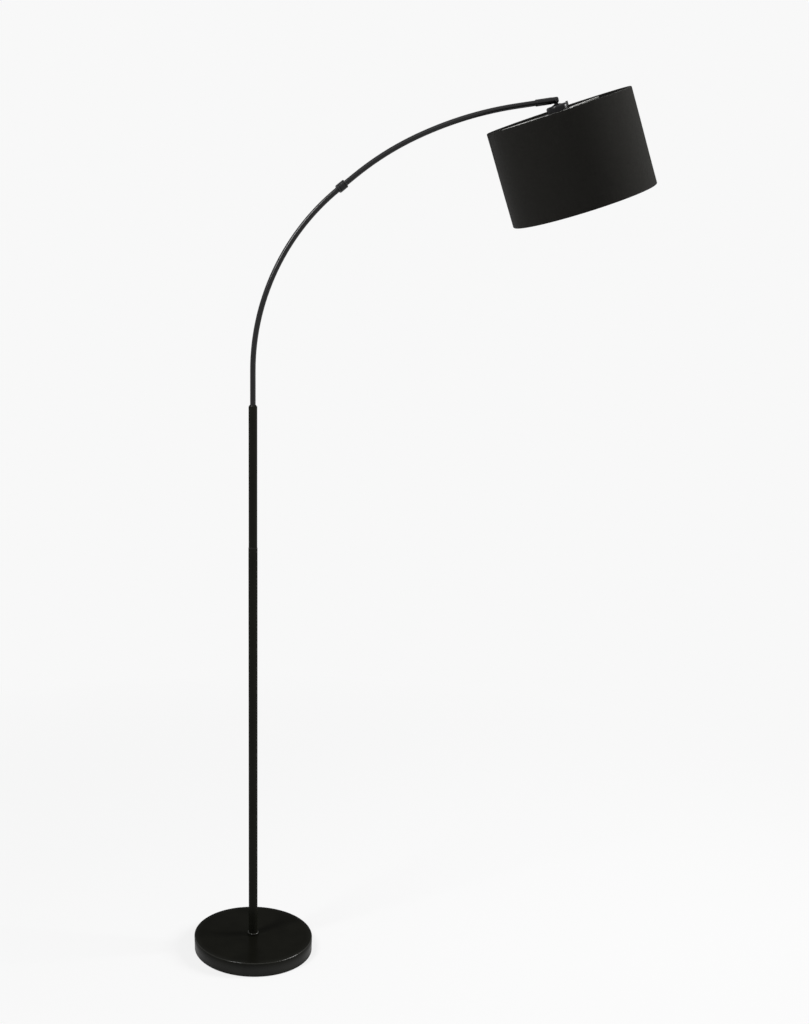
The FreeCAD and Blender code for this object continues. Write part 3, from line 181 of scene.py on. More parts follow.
def surface_grain():
    """Fine bumps and slow clouds on Object coordinates, for castings, plating and mouldings."""
    build, given, result = shader_group(
        "surface_grain",
        [("NodeSocketFloat", "Grain Size", 0.0012), ("NodeSocketFloat", "Cloud Size", 0.06)],
        [("NodeSocketFloat", "Grain"), ("NodeSocketFloat", "Clouds")],
    )
    place = build.add("ShaderNodeTexCoord").outputs["Object"]
    fine = build.add("ShaderNodeTexNoise", Vector=place, Detail=3.0, Roughness=0.55)
    build.feed(fine, "Scale", build.math("DIVIDE", 1.0, given["Grain Size"]))
    slow = build.add("ShaderNodeTexNoise", Vector=place, Detail=2.0, Roughness=0.5)
    build.feed(slow, "Scale", build.math("DIVIDE", 1.0, given["Cloud Size"]))
    build.feed(result, "Grain", fine.outputs["Fac"])
    build.feed(result, "Clouds", slow.outputs["Fac"])
    return build.tree


grain_group = surface_grain()


def new_material(name, **plain):
    """A material, its tree and its shader, with the plain values on the shader's own sockets."""
    material = bpy.data.materials.new(name)
    material.use_nodes = True
    shader = material.node_tree.nodes["Principled BSDF"]
    for key, value in plain.items():
        shader.inputs[key.replace("_", " ")].default_value = value
    return material, Tree(material.node_tree), shader


def relief(build, shader, height, distance):
    """Raises the surface by the height times the distance, in metres."""
    bump = build.add("ShaderNodeBump", Distance=distance, Height=height)
    build.feed(shader, "Normal", bump.outputs["Normal"])


def grained(name, dark, light, roughness, grain, bump, cloud=0.06, **plain):
    """A material whose colour and roughness drift between two values, with a grain and clouds of
    these sizes. The bump is the grain's height. All are in metres."""
    material, build, shader = new_material(name, **plain)
    effect = build.group(grain_group, Grain_Size=grain, Cloud_Size=cloud)
    grains, clouds = effect.outputs["Grain"], effect.outputs["Clouds"]
    grain_share, cloud_share = 0.35, 0.65
    slow = build.math("MULTIPLY", clouds, cloud_share)
    drift = build.math("MULTIPLY_ADD", grains, grain_share, slow)
    build.feed(shader, "Base Color", build.colours(drift, dark, light))
    build.feed(shader, "Roughness", build.span(clouds, *roughness))
    relief(build, shader, grains, bump)
    return material


def finish_nodes(material, *names):
    """Gives CAD nodes a material."""
    for name in names:
        mesh = nodes[name].data
        mesh.materials.clear()
        mesh.materials.append(material)


def pad_foam():
    """Closed cells a millimetre across, pressed flat on the faces."""
    cells_per_metre = 900.0
    cell_depth = 0.0003
    wall_colour = (0.045, 0.045, 0.045)
    cell_colour = (0.02, 0.02, 0.02)
    material, build, shader = new_material("pad_foam", Specular_IOR_Level=0.2)
    place = build.add("ShaderNodeTexCoord").outputs["Object"]
    cells = build.add("ShaderNodeTexVoronoi", Vector=place, Scale=cells_per_metre)
    depth = build.span(cells.outputs["Distance"], 0, 1, start=0.1, end=0.6)
    build.feed(shader, "Base Color", build.colours(depth, wall_colour, cell_colour))
    build.feed(shader, "Roughness", build.span(depth, 0.85, 1.0))
    relief(build, shader, depth, cell_depth)
    return material


zinc = grained(
    "zinc_plate", (0.38, 0.38, 0.39), (0.62, 0.62, 0.61),
    roughness=(0.26, 0.42), grain=0.0006, bump=0.00002, cloud=0.012, Metallic=1.0,
)
cast = grained(
    "cast_iron", (0.02, 0.02, 0.021), (0.05, 0.048, 0.046),
    roughness=(0.6, 0.8), grain=0.002, bump=0.0003,
)
finish_nodes(pad_foam(), "floor_pad")
finish_nodes(cast, "base_weight")
finish_nodes(zinc, "flat_washer", "spring_washer", "stud_nut", "center_stud")

# ---------------------------------------------------------------- base cover and outlet bush
# A drawn steel shell with a rounded rim and a short skirt hides the weight. It is powder coated
# in satin black, duller on the flat top than on the skirt, and lighter in colour along its rim,
# partly as rubbed wear and partly as a painted highlight.
# The bush in its back is moulded nylon, pushed in from outside.
base_top = 0.0315
base_radius = 0.12825
base_rim_radius = 0.0025
vertical = (0, 0, 1)


def ring_edge():
    """One on a circle about an axis, and fading to nothing at Width from it."""
    build, given, result = shader_group(
        "ring_edge",
        [
            ("NodeSocketVector", "Centre", None),
            ("NodeSocketVector", "Axis", None),
            ("NodeSocketFloat", "Radius", 0.01),
            ("NodeSocketFloat", "Width", 0.001),
        ],
        [("NodeSocketFloat", "Mask")],
    )
    place = build.add("ShaderNodeTexCoord").outputs["Object"]
    offset = build.vector("SUBTRACT", place, given["Centre"])
    height = build.vector("DOT_PRODUCT", offset, given["Axis"], out="Value")
    climb = build.math("MULTIPLY", height, height)
    span = build.vector("DOT_PRODUCT", offset, offset, out="Value")
    flat = build.math("SQRT", build.math("MAXIMUM", build.math("SUBTRACT", span, climb), 0.0))
    away = build.math("SUBTRACT", flat, given["Radius"])
    near = build.math("SQRT", build.math("MULTIPLY_ADD", away, away, climb))
    share = build.math("DIVIDE", near, given["Width"])
    build.feed(result, "Mask", build.span(share, 1, 0, shape="SMOOTHSTEP"))
    return build.tree


ring_group = ring_edge()


def painted(name, tone, gloss, rims, glossy_bands=(), peel=0.00003, tint=(1.0, 1.0, 0.76)):
    """Black powder coat. Tone is its dark and light grey, gloss the weight of its coat away from
    and at the rims, peel the height of its orange peel. A rim is (centre, axis, radius, width)."""
    wear_and_highlight_lift = 1.6
    material, build, shader = new_material(name, Specular_IOR_Level=0.0, Coat_Roughness=0.22)
    effect = build.group(grain_group, Grain_Size=0.0009, Cloud_Size=0.05)
    speck = build.group(grain_group, Grain_Size=0.003, Cloud_Size=0.02)
    clouds = effect.outputs["Clouds"]

    def band(rows):
        """One along the rims, and nothing away from them."""
        reach = 0.0
        for centre, axis, radius, width in rows:
            ring = build.group(ring_group, Centre=centre, Axis=axis, Radius=radius, Width=width)
            reach = build.math("MAXIMUM", reach, ring.outputs["Mask"])
        return reach

    rim_wear_and_highlight = band(rims)
    patchy = build.span(speck.outputs["Grain"], 0.2, 1.0, start=0.38, end=0.62)
    # Along the rims the colour is lifted: partly rubbed wear, partly a painted highlight.
    drift = build.math("MULTIPLY_ADD", build.math("MULTIPLY", rim_wear_and_highlight, patchy), wear_and_highlight_lift, clouds)
    colour = build.colours(drift, *([grey * share for share in tint] for grey in tone))
    colour.node.clamp_factor = False
    build.feed(shader, "Base Color", colour)
    build.feed(shader, "Roughness", build.span(clouds, 0.5, 0.7))
    shine = build.math("MAXIMUM", rim_wear_and_highlight, band(glossy_bands)) if glossy_bands else rim_wear_and_highlight
    shine = build.math("MULTIPLY", shine, build.span(clouds, 0.8, 1.1))
    build.feed(shader, "Coat Weight", build.span(shine, *gloss))
    relief(build, shader, effect.outputs["Grain"], peel)
    return material


rim_inset = base_rim_radius * 0.3
rim_width = 0.0022
skirt_middle = base_top * 0.4
skirt_reach = base_top * 0.75
rim_circle = ((0, 0, base_top - rim_inset), vertical, base_radius - rim_inset, rim_width)
skirt_band = ((0, 0, skirt_middle), vertical, base_radius, skirt_reach)
base_paint = painted(
    "base_powder_coat", tone=(0.0035, 0.0085), gloss=(0.03, 0.4), rims=[rim_circle],
    glossy_bands=[skirt_band],
)
finish_nodes(base_paint, "base_cover")

nylon = grained(
    "black_nylon", (0.012, 0.012, 0.012), (0.018, 0.018, 0.018),
    roughness=(0.45, 0.55), grain=0.0006, bump=0.00003, Specular_IOR_Level=0.3,
)
finish_nodes(nylon, "cord_grommet")

# ---------------------------------------------------------------- pole
# Two steel tubes, the upper one a millimetre slimmer, screwed together end to end and held on
# the stud by threaded plugs crimped into them. A turned collar covers the foot, and a bushing
# in the top guides the arm, which a black set screw stops. All but the plugs are powder coated.
pole_top = 1.191
bushing_radius = 0.0081
pole_joint = 0.892
pole_radius = 0.0095
collar_edge = 0.0364
collar_radius = 0.0115
pole_rims = [
    ((0, 0, pole_top), vertical, bushing_radius, 0.0016),
    ((0, 0, pole_joint), vertical, pole_radius, 0.0014),
    ((0, 0, collar_edge), vertical, collar_radius, 0.0018),
]
pole_paint = painted(
    "pole_powder_coat", tone=(0.0065, 0.011), gloss=(0.08, 0.5), rims=pole_rims
)
finish_nodes(pole_paint, "foot_collar", "lower_pole", "upper_pole", "pole_top_bushing")
finish_nodes(zinc, "lower_pole_foot_plug", "lower_pole_top_plug", "upper_pole_foot_plug")
finish_nodes(zinc, "pole_joiner_stud")
oxide = grained(
    "black_oxide", (0.015, 0.015, 0.016), (0.035, 0.035, 0.037),
    roughness=(0.35, 0.5), grain=0.0005, bump=0.00002, cloud=0.006, Metallic=0.8,
)
finish_nodes(oxide, "arm_set_screw")

# ---------------------------------------------------------------- arm
# Two bent steel tubes meet inside a turned coupler, over a short inner joiner, and the outer
# one ends in a turned sleeve with a slotted nose. The powder coat on them is glossier than on
# the pole. The knuckle's screw, nut and white washers sit across the slot.
pivot = Vector(joints["shade_tilt"]["pos_m"])
arm_heading = math.radians(81.3)
arm_ahead = Vector((math.sin(arm_heading), 0, math.cos(arm_heading)))
coupler_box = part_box("arm_coupler")
coupler_middle = (Vector(coupler_box[0]) + Vector(coupler_box[1])) / 2
coupler_heading = math.radians(51.7)
coupler_ahead = Vector((math.sin(coupler_heading), 0, math.cos(coupler_heading)))
coupler_half = 0.0098
coupler_radius = 0.0088
sleeve_front = 0.0046
sleeve_nose_radius = 0.0058
sleeve_back = 0.0436
sleeve_radius = 0.0068
arm_peel = 0.00002
arm_tint = (1.0, 0.97, 1.04)
arm_rims = [
    (coupler_middle - coupler_ahead * coupler_half, coupler_ahead, coupler_radius, 0.0016),
    (coupler_middle + coupler_ahead * coupler_half, coupler_ahead, coupler_radius, 0.0016),
    (pivot + arm_ahead * sleeve_front, arm_ahead, sleeve_nose_radius, 0.0022),
    (pivot - arm_ahead * sleeve_back, arm_ahead, sleeve_radius, 0.0014),
]
arm_paint = painted(
    "arm_powder_coat", tone=(0.003, 0.006), gloss=(0.55, 0.9), rims=arm_rims,
    peel=arm_peel, tint=arm_tint,
)
finish_nodes(arm_paint, "lower_arm_tube", "upper_arm_tube", "arm_coupler", "end_sleeve")
finish_nodes(zinc, "arm_joiner")
finish_nodes(oxide, "hinge_screw", "hinge_nut")
white_nylon = grained(
    "white_nylon", (0.68, 0.67, 0.62), (0.76, 0.75, 0.71),
    roughness=(0.4, 0.5), grain=0.0006, bump=0.00002,
)
finish_nodes(white_nylon, "friction_washers")

# ---------------------------------------------------------------- knuckle tongue and neck cup
# A flat tongue turns between the washers in the sleeve's slot. Its round shank goes down
# through the domed cup and the lampholder's cap, where a nut holds all three.
shade_tilt = math.radians(18.55)
head_down = Vector((math.sin(shade_tilt), 0, -math.cos(shade_tilt)))
head_out = Vector((math.cos(shade_tilt), 0, math.sin(shade_tilt)))
head_side = head_down.cross(head_out)
cup_depth = 0.0101
cup_radius = 0.0115
cup_rims = [(pivot + head_down * cup_depth, head_down, cup_radius, 0.0012)]
head_paint = painted(
    "head_powder_coat", tone=(0.0075, 0.013), gloss=(0.35, 0.8), rims=cup_rims,
    peel=arm_peel, tint=arm_tint,
)
finish_nodes(head_paint, "knuckle_tongue", "neck_cup")
finish_nodes(zinc, "shank_nut")

# ---------------------------------------------------------------- lampholder
# A two-part moulded holder: the cap with its nut, and a threaded skirt. A ribbed ring screws up
# the skirt's thread and clamps the shade's fitter ring. Inside are a ceramic seat, a brass
# screw shell and a sprung brass contact.
skirt_radius = 0.0197
clamp_top = 0.0257
clamp_height = 0.009
clamp_flange = 0.0024
clamp_barrel_radius = 0.0235
clamp_ribs = 20
rib_radius = 0.0013
rib_flats = 10
thread_start = 0.0352
thread_end = 0.0572
thread_pitch = 0.003
thread_rise = 0.0007
thread_flats = 8
steps_per_turn = 48

moulding = grained(
    "black_moulding", (0.0085, 0.0085, 0.009), (0.0135, 0.0135, 0.014),
    roughness=(0.36, 0.5), grain=0.0005, bump=0.00003,
    Specular_IOR_Level=0.0, Coat_Weight=0.4, Coat_Roughness=0.2,
)


def link(name, mesh, body, slot, *hidden):
    """Puts a mesh into the scene as a piece that rides on a body."""
    piece = bpy.data.objects.new(name, mesh)
    bpy.context.scene.collection.objects.link(piece)
    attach(piece, body)
    if hidden:
        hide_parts(*hidden)
    return piece


def head_frame(depth):
    """Where a shape goes that is made about its own Z axis, which points down the shade."""
    turned_axes = Matrix((head_out, head_side, head_down)).transposed().to_4x4()
    return Matrix.Translation(pivot + head_down * depth) @ turned_axes


def even_angles(count):
    """This many angles round a circle."""
    return [2 * math.pi * index / count for index in range(count)]


def turned(name, profile, angles, push=None):
    """A closed ring turned from a closed profile of (radius, height), with a UV map in metres
    that runs round it and along the profile. Push moves a point by its angle and place."""
    mesh = bpy.data.meshes.new(name)
    along = [0.0]
    for (r0, h0), (r1, h1) in zip(profile, profile[1:] + profile[:1]):
        along.append(along[-1] + math.hypot(r1 - r0, h1 - h0))
    rows, columns = len(profile), len(angles)
    points = []
    for angle in angles:
        for radius, height in profile:
            if push:
                radius, height = push(angle, radius, height)
            points.append((radius * math.cos(angle), radius * math.sin(angle), height))
    faces, maps = [], []
    widest = max(radius for radius, _ in profile)
    for i in range(columns):
        j = (i + 1) % columns
        full_turn = 2 * math.pi if j == 0 else 0
        left, right = angles[i] * widest, (angles[j] + full_turn) * widest
        for k in range(rows):
            n = (k + 1) % rows
            faces.append((i * rows + k, j * rows + k, j * rows + n, i * rows + n))
            maps += [left, along[k], right, along[k], right, along[k + 1], left, along[k + 1]]
    mesh.from_pydata(points, [], faces)
    layer = mesh.uv_layers.new(name="cut")
    layer.data.foreach_set("uv", maps)
    mesh.shade_smooth()
    return outward(mesh)


def outward(mesh):
    """Turns a closed mesh's faces outwards."""
    work = bmesh.new()
    work.from_mesh(mesh)
    bmesh.ops.recalc_face_normals(work, faces=work.faces)
    work.to_mesh(mesh)
    work.free()
    return mesh


def shape_tree(name, inputs):
    """A geometry node tree with named inputs, what it is given, and how it is closed."""
    tree = bpy.data.node_groups.new(name, "GeometryNodeTree")
    tree.interface.new_socket("Geometry", in_out="INPUT", socket_type="NodeSocketGeometry")
    for kind, label, value in inputs:
        socket = tree.interface.new_socket(label, in_out="INPUT", socket_type="NodeSocket" + kind)
        socket.default_value = value
    tree.interface.new_socket("Material", in_out="INPUT", socket_type="NodeSocketMaterial")
    tree.interface.new_socket("Geometry", in_out="OUTPUT", socket_type="NodeSocketGeometry")
    build = Tree(tree)
    given = build.add("NodeGroupInput").outputs

    def close(*shapes):
        joined = build.add("GeometryNodeJoinGeometry")
        for shape in shapes:
            tree.links.new(shape, joined.inputs[0])
        real = build.add("GeometryNodeRealizeInstances", Geometry=joined.outputs[0])
        dressed = build.add("GeometryNodeSetMaterial", Geometry=real.outputs[0])
        build.feed(dressed, "Material", given["Material"])
        build.feed(build.add("NodeGroupOutput"), "Geometry", dressed.outputs[0])
        return tree

    return build, given, close


def grown(name, tree, start=None, **values):
    """The plain mesh that a tree makes, from a starting mesh if it has one."""
    seed = bpy.data.objects.new(name, start or bpy.data.meshes.new(name))
    bpy.context.scene.collection.objects.link(seed)
    maker = seed.modifiers.new(name, "NODES")
    maker.node_group = tree
    sockets = {s.name: s.identifier for s in tree.interface.items_tree if s.in_out == "INPUT"}
    for label, value in values.items():
        maker[sockets[label.replace("_", " ")]] = value
    bpy.context.view_layer.update()
    ready = seed.evaluated_get(bpy.context.evaluated_depsgraph_get())
    mesh = bpy.data.meshes.new_from_object(ready)
    seed.modifiers.remove(maker)
    bpy.data.objects.remove(seed)
    mesh.name = name
    return mesh


def ribbed_tree():
    """Half-round ribs side by side round a barrel."""
    build, given, close = shape_tree("ribbed_ring", [
        ("Int", "Ribs", clamp_ribs),
        ("Float", "Barrel Radius", clamp_barrel_radius),
        ("Float", "Rib Radius", rib_radius),
        ("Float", "Rib Length", clamp_height),
        ("Float", "Rib Middle", clamp_height),
    ])
    circle = build.add("GeometryNodeMeshCircle")
    build.feed(circle, "Vertices", given["Ribs"])
    build.feed(circle, "Radius", given["Barrel Radius"])
    lift = build.add("ShaderNodeCombineXYZ", Z=given["Rib Middle"]).outputs[0]
    lifted = build.add("GeometryNodeTransform", Geometry=circle.outputs[0], Translation=lift)
    rib = build.add("GeometryNodeMeshCylinder", Vertices=rib_flats)
    build.feed(rib, "Radius", given["Rib Radius"])
    build.feed(rib, "Depth", given["Rib Length"])
    ribs = build.add(
        "GeometryNodeInstanceOnPoints", Points=lifted.outputs[0], Instance=rib.outputs[0]
    )
    return close(given["Geometry"], ribs.outputs[0])


# The barrel's section, as (radius, height) from the top of its flange.
clamp_profile = [
    (0.0200, 0.0), (0.0199, 0.0002), (0.0199, 0.0087), (0.0202, 0.0090), (0.0229, 0.0090),
    (0.0233, 0.0089), (0.0235, 0.0086), (0.0235, 0.0029), (0.0237, 0.0025), (0.0241, 0.0024),
    (0.0260, 0.0024), (0.0264, 0.0022), (0.0265, 0.0018), (0.0265, 0.0006), (0.0264, 0.0002),
    (0.0260, 0.0),
]
clamp_columns = 120
rib_end_gap = 0.0004
rib_sink = 0.0001
rib_length = clamp_height - clamp_flange - rib_end_gap
ring_mesh = turned("clamp_ring_barrel", clamp_profile, even_angles(clamp_columns))
ring_mesh = grown(
    "ribbed_clamp_ring", ribbed_tree(), ring_mesh, Ribs=clamp_ribs,
    Barrel_Radius=clamp_barrel_radius - rib_sink, Rib_Radius=rib_radius, Rib_Length=rib_length,
    Rib_Middle=clamp_flange + rib_length / 2, Material=moulding,
)
ring_mesh.transform(head_frame(clamp_top))
link("ribbed_clamp_ring", ring_mesh, "head", "black_moulding", "clamp_ring")


def thread_tree():
    """A raised thread: a small section swept along a helix."""
    build, given, close = shape_tree("raised_thread", [
        ("Float", "Radius", skirt_radius),
        ("Float", "Height", thread_end - thread_start),
        ("Float", "Turns", (thread_end - thread_start) / thread_pitch),
        ("Float", "Rise", thread_rise),
    ])
    helix = build.add("GeometryNodeCurveSpiral", Resolution=steps_per_turn)
    for key in ("Start Radius", "End Radius"):
        build.feed(helix, key, given["Radius"])
    build.feed(helix, "Rotations", given["Turns"])
    build.feed(helix, "Height", given["Height"])
    section = build.add("GeometryNodeCurvePrimitiveCircle", Resolution=thread_flats)
    build.feed(section, "Radius", given["Rise"])
    swept = build.add(
        "GeometryNodeCurveToMesh", Curve=helix.outputs[0], Profile_Curve=section.outputs[0]
    )
    build.feed(swept, "Fill Caps", True)
    return close(swept.outputs[0])


thread_mesh = grown(
    "skirt_thread", thread_tree(), Radius=skirt_radius, Height=thread_end - thread_start,
    Turns=(thread_end - thread_start) / thread_pitch, Rise=thread_rise, Material=moulding,
)
thread_mesh.transform(head_frame(thread_start))
thread_mesh.shade_smooth()
link("skirt_thread", outward(thread_mesh), "head", "black_moulding")

finish_nodes(moulding, "lampholder_cap", "lampholder_skirt")
ceramic = grained(
    "seat_ceramic", (0.7, 0.69, 0.65), (0.8, 0.79, 0.75),
    roughness=(0.25, 0.35), grain=0.002, bump=0.00002,
)
finish_nodes(ceramic, "socket_insulator")
brass = grained(
    "brass", (0.6, 0.42, 0.16), (0.75, 0.55, 0.24),
    roughness=(0.2, 0.35), grain=0.0006, bump=0.00001, cloud=0.01, Metallic=1.0,
)
finish_nodes(brass, "screw_shell", "center_contact")

# ---------------------------------------------------------------- bulb
# A globe bulb of opal glass, cemented into a nickel-plated screw cap. It hangs in the holder
# with its cap out of sight.
nickel = grained(
    "bulb_cap_metal", (0.6, 0.6, 0.6), (0.7, 0.7, 0.7),
    roughness=(0.15, 0.3), grain=0.0006, bump=0.00001, cloud=0.01, Metallic=1.0,
)
finish_nodes(nickel, "bulb_cap")
opal = grained(
    "opal_glass", (0.72, 0.72, 0.69), (0.80, 0.80, 0.78),
    roughness=(0.4, 0.5), grain=0.0004, bump=0.000005, cloud=0.03,
    Coat_Weight=0.5, Coat_Roughness=0.12,
)
finish_nodes(opal, "bulb_glass")

# ---------------------------------------------------------------- shade frame
# Three steel wires run from the fitter ring, which the lampholder clamps, to a wire ring in the
# shade's top edge, each with a weld bead at both ends. A like ring stiffens the bottom edge.
# All of it is dipped in pale enamel.
wire_circle = 0.147
wire_radius = 0.0015
fitter_radius = 0.029
fitter_depth = 0.0248
spoke_turn = math.radians(-30.0)
spokes = 3
bead_radius = 0.0021
bead_flattening = (1.1, 1.1, 0.8)

enamel = grained(
    "white_enamel", (0.38, 0.38, 0.36), (0.46, 0.46, 0.44),
    roughness=(0.3, 0.4), grain=0.001, bump=0.00002, cloud=0.02,
    Coat_Weight=0.3, Coat_Roughness=0.2,
)
finish_nodes(enamel, "shade_spider", "bottom_wire_ring")


def bead_tree():
    """Flattened weld beads, one at each end of every spoke."""
    build, given, close = shape_tree("weld_beads", [
        ("Int", "Spokes", spokes),
        ("Float", "First Angle", spoke_turn),
        ("Float", "Inner Radius", fitter_radius),
        ("Float", "Outer Radius", wire_circle),
        ("Float", "Bead Radius", bead_radius),
    ])
    bead = build.add("GeometryNodeMeshIcoSphere", Subdivisions=3)
    build.feed(bead, "Radius", given["Bead Radius"])
    spin = build.add("ShaderNodeCombineXYZ", Z=given["First Angle"])
    rows = []
    for key in ("Inner Radius", "Outer Radius"):
        circle = build.add("GeometryNodeMeshCircle")
        build.feed(circle, "Vertices", given["Spokes"])
        build.feed(circle, "Radius", given[key])
        placed = build.add("GeometryNodeTransform", Geometry=circle.outputs[0])
        build.feed(placed, "Rotation", spin.outputs[0])
        beads = build.add(
            "GeometryNodeInstanceOnPoints", Points=placed.outputs[0], Instance=bead.outputs[0]
        )
        build.feed(beads, "Scale", bead_flattening)
        rows.append(beads.outputs[0])
    return close(*rows)


bead_mesh = grown(
    "weld_beads", bead_tree(), Spokes=spokes, First_Angle=spoke_turn, Inner_Radius=fitter_radius,
    Outer_Radius=wire_circle - wire_radius, Bead_Radius=bead_radius, Material=enamel,
)
bead_mesh.transform(head_frame(fitter_depth))
bead_mesh.shade_smooth()
link("weld_beads", outward(bead_mesh), "head", "white_wire")

# ---------------------------------------------------------------- shade cloth and lining
# One strip of plain-woven black cloth is laminated to a dark grey film and rolled into a drum,
# with a glued overlap down its back. At both ends the cloth is turned in over the wire ring and
# glued down inside, in small puckers.
shade_top = 0.0206
shade_height = 0.2042
shade_radius = 0.15
cloth_thickness = 0.0008
roll_radius = 0.0025
roll_thickness = 0.00035
roll_turn_in = 0.0019
seam_angle = math.radians(232.0)
seam_width = 0.010
seam_rise = 0.0004
seam_slope = 0.0006
wall_columns = 264
wall_rows = 26
arc_steps = 7
long_wave = 0.00012
short_wave = 0.00008
calm_ends = 0.02
pucker_depth = 0.00015
puckers = 96
weave_pitch = 0.00075
weave_depth = 0.00012


def shade_profile():
    """The section of the cloth: a tall wall whose two ends roll inwards."""
    middle = shade_radius - roll_radius
    inner = roll_radius - roll_thickness
    high = shade_top + roll_radius
    low = shade_top + shade_height - roll_radius

    def arc(height, radius, start, end):
        turns = [start + (end - start) * step / arc_steps for step in range(arc_steps + 1)]
        return [(middle + radius * math.cos(t), height - radius * math.sin(t)) for t in turns]

    wall = [low + (high - low) * step / wall_rows for step in range(1, wall_rows)]
    outside = [(shade_radius, height) for height in wall]
    inside = [(shade_radius - cloth_thickness, height) for height in reversed(wall)]
    top_end = [(middle - roll_radius, high + roll_turn_in), (middle - inner, high + roll_turn_in)]
    low_end = [(middle - inner, low - roll_turn_in), (middle - roll_radius, low - roll_turn_in)]
    top_roll = arc(high, roll_radius, 0, math.pi) + top_end + arc(high, inner, math.pi, 0)
    low_roll = arc(low, inner, 0, -math.pi) + low_end + arc(low, roll_radius, -math.pi, 0)
    return outside + top_roll + inside + low_roll


def cloth_angles():
    """Even steps round the drum, with narrow ones at the edges of the overlap."""
    steps = even_angles(wall_columns)
    for edge in (-seam_width / 2, seam_width / 2):
        for offset in (-0.0009, -0.0003, 0.0003, 0.0009):
            steps.append(seam_angle + (edge + offset) / shade_radius)
    return sorted(steps)


def lie(angle, radius, height):
    """The cloth's small unevenness: slow waves in the wall, the overlap, puckers in the roll."""

    def share(value):
        return max(0.0, min(1.0, value))

    wave = long_wave * math.sin(5 * angle + 9 * height)
    wave += short_wave * math.sin(11 * angle - 40 * height)
    wave *= share(min(height - shade_top, shade_top + shade_height - height) / calm_ends)
    from_edge = seam_width / 2 - abs(angle - seam_angle) * shade_radius
    on_outer_face = radius > shade_radius - cloth_thickness / 4
    if on_outer_face:
        wave += share(from_edge / seam_slope + 0.5) * seam_rise
    turned_in = share((shade_radius - roll_radius - radius) / roll_radius)
    pucker = pucker_depth * turned_in * math.sin(puckers * angle + 2 * math.sin(7 * angle))
    return radius + wave - pucker, height


def plain_weave():
    """Threads that pass over and under each other, on a map in metres."""
    build, given, result = shader_group(
        "plain_weave",
        [("NodeSocketVector", "Map", None), ("NodeSocketFloat", "Pitch", weave_pitch)],
        [("NodeSocketFloat", "Height"), ("NodeSocketFloat", "Slub")],
    )
    count = build.vector("SCALE", given["Map"])
    build.feed(count.node, "Scale", build.math("DIVIDE", 1.0, given["Pitch"]))
    split = build.add("ShaderNodeSeparateXYZ", Vector=count)
    u, v = split.outputs["X"], split.outputs["Y"]

    def threads(across_way, long_way, sign):
        """The height of one set of threads, round in section and swinging up and down."""
        body = build.math("MULTIPLY", build.math("FRACT", across_way), math.pi)
        body = build.math("SINE", body)
        middle = build.math("SUBTRACT", long_way, 0.5)
        order = build.math("ADD", middle, build.math("FLOOR", across_way))
        swing = build.math("COSINE", build.math("MULTIPLY", order, math.pi))
        return build.math("MULTIPLY", body, build.math("MULTIPLY_ADD", swing, 0.5 * sign, 0.5))

    build.feed(result, "Height", build.math("MAXIMUM", threads(u, v, 1), threads(v, u, -1)))
    slub_share = 0.9
    slubs = 0.5
    for stretch in ((0.9, 0.03, 1.0), (0.03, 0.9, 1.0)):
        uneven = build.add("ShaderNodeTexNoise", Scale=1.0, Detail=2.0, Roughness=0.6)
        build.feed(uneven, "Vector", build.vector("MULTIPLY", count, stretch))
        change = build.math("SUBTRACT", uneven.outputs["Fac"], 0.5)
        slubs = build.math("MULTIPLY_ADD", change, slub_share, slubs)
    build.feed(result, "Slub", slubs)
    return build.tree


weave_group = plain_weave()


def woven(name, dark, light, pitch, depth, **plain):
    """Woven cloth on its UV map, with uneven threads."""
    height_share, slub_share, slub_rise = 0.45, 0.55, 0.5
    material, build, shader = new_material(name, **plain)
    cut = build.add("ShaderNodeUVMap", {"uv_map": "cut"}).outputs["UV"]
    weave = build.group(weave_group, Map=cut, Pitch=pitch)
    height, slub = weave.outputs["Height"], weave.outputs["Slub"]
    uneven = build.math("MULTIPLY", slub, slub_share)
    tone = build.math("MULTIPLY_ADD", height, height_share, uneven)
    build.feed(shader, "Base Color", build.colours(tone, dark, light))
    build.feed(shader, "Roughness", build.span(slub, 0.8, 0.98))
    relief(build, shader, build.math("MULTIPLY_ADD", slub, slub_rise, height), depth)
    return material


cloth = woven(
    "black_cloth", (0.0050, 0.0048, 0.0043), (0.0186, 0.0180, 0.0162), weave_pitch, weave_depth,
    Specular_IOR_Level=0.0, Sheen_Weight=0.06, Sheen_Roughness=0.5,
)
cloth_mesh = turned("shade_cloth", shade_profile(), cloth_angles(), lie)
cloth_mesh.transform(head_frame(0))
cloth_mesh.materials.append(cloth)
shade_cloth = link(
    "shade_cloth", cloth_mesh, "head", "black_cloth", "shade_fabric", "top_hem", "bottom_hem"
)
film = grained(
    "lining_film", (0.06, 0.06, 0.058), (0.085, 0.085, 0.083),
    roughness=(0.45, 0.6), grain=0.002, bump=0.00002, Specular_IOR_Level=0.3,
)
finish_nodes(film, "shade_lining")

# ---------------------------------------------------------------- floor and light
# A pale sheet lies on the floor and runs off to white; from below it is clear. Soft boxes and
# the white room light the lamp: a strip high on the left that draws the light line along the
# arm, a weak one above the front, and one at the right for that side of the shade.
backdrop_white = 0.939
floor_colour = (0.9, 0.9, 0.9)
floor_share = 0.18
floor_fade = (0.5, 2.0)
floor_size = 30.0


def seen_directly(build):
    """One for rays that show the background itself: the camera's, and those in gloss or glass."""
    rays = build.add("ShaderNodeLightPath").outputs
    seen = build.math("MAXIMUM", rays["Is Camera Ray"], rays["Is Glossy Ray"])
    return build.math("MAXIMUM", seen, rays["Is Transmission Ray"])


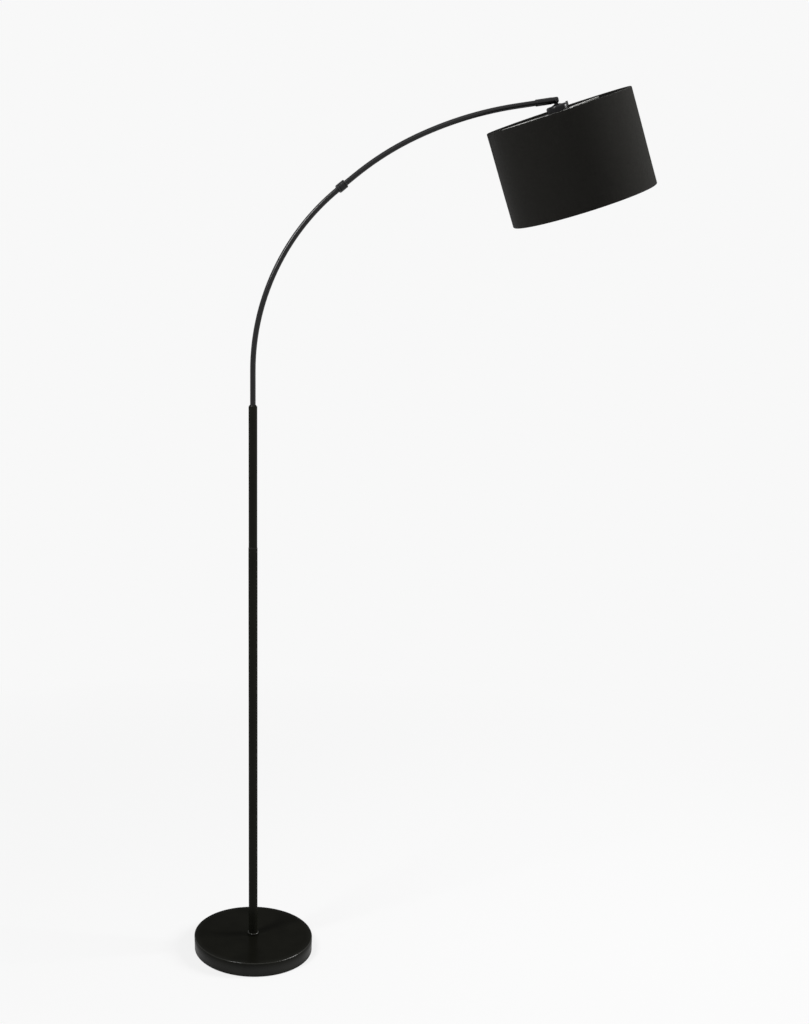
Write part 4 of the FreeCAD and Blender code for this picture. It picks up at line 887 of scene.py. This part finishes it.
def floor_material():
    """A lit floor that the backdrop's white mixes into, more and more away from the lamp."""
    material = bpy.data.materials.new("pale_floor")
    material.use_nodes = True
    build = Tree(material.node_tree)
    material.node_tree.nodes.remove(material.node_tree.nodes["Principled BSDF"])
    lit = build.add("ShaderNodeBsdfDiffuse", Color=(*floor_colour, 1))
    glow = build.add("ShaderNodeEmission", Color=(1, 1, 1, 1), Strength=backdrop_white)
    place = build.add("ShaderNodeTexCoord").outputs["Object"]
    away = build.vector("LENGTH", place, out="Value")
    far = build.span(away, 1 - floor_share, 1.0, *floor_fade)
    share = build.math("MULTIPLY", far, seen_directly(build))
    mix = build.add("ShaderNodeMixShader")
    build.feed(mix, "0", share)
    build.feed(mix, "1", lit.outputs[0])
    build.feed(mix, "2", glow.outputs[0])
    from_below = build.add("ShaderNodeNewGeometry").outputs["Backfacing"]
    camera_ray = build.add("ShaderNodeLightPath").outputs["Is Camera Ray"]
    clear = build.add("ShaderNodeMixShader")
    build.feed(clear, "0", build.math("MULTIPLY", from_below, camera_ray))
    build.feed(clear, "1", mix.outputs[0])
    build.feed(clear, "2", build.add("ShaderNodeBsdfTransparent").outputs[0])
    output = material.node_tree.nodes["Material Output"]
    build.feed(output, "Surface", clear.outputs[0])
    return material


floor_mesh = bpy.data.meshes.new("floor")
side = floor_size / 2
floor_mesh.from_pydata(
    [(-side, -side, 0), (side, -side, 0), (side, side, 0), (-side, side, 0)], [], [(0, 1, 2, 3)]
)
floor_mesh.materials.append(floor_material())
floor = bpy.data.objects.new("floor", floor_mesh)
bpy.context.scene.collection.objects.link(floor)
floor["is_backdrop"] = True


def room_light(ambient):
    """White to the eye and in reflections, and a plain ambient level for everything else."""
    world = bpy.data.worlds.new("room")
    world.use_nodes = True
    build = Tree(world.node_tree)
    sky = world.node_tree.nodes["Background"]
    sky.inputs["Color"].default_value = (1, 1, 1, 1)
    build.feed(sky, "Strength", build.span(seen_directly(build), ambient, backdrop_white))
    bpy.context.scene.world = world


def soft_box(name, place, aim, width, height, power):
    """A rectangular light that faces a point, in metres and watts."""
    light = bpy.data.lights.new(name, "AREA")
    light.shape = "RECTANGLE"
    light.size = width
    light.size_y = height
    light.energy = power
    box = bpy.data.objects.new(name, light)
    box.location = place
    box.rotation_euler = (Vector(aim) - Vector(place)).to_track_quat("-Z", "Y").to_euler()
    bpy.context.scene.collection.objects.link(box)


room_light(ambient=0.19)
soft_box("front_box", (0.3, -1.7, 3.8), (0.2, 0, 0.9), width=1.6, height=0.9, power=8)
soft_box("right_box", (3.2, -0.6, 2.2), (0.6, 0, 1.6), width=1.0, height=1.6, power=130)
soft_box("left_box", (-1.75, -1.0, 3.45), (0.2, 0, 1.6), width=0.65, height=1.7, power=90)

bpy.context.scene.view_settings.view_transform = "Standard"


def plain(box):
    """A box as plain lists."""
    return [list(corner) for corner in box]


{"cad": plain(cad_box), "visual": plain(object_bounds())}
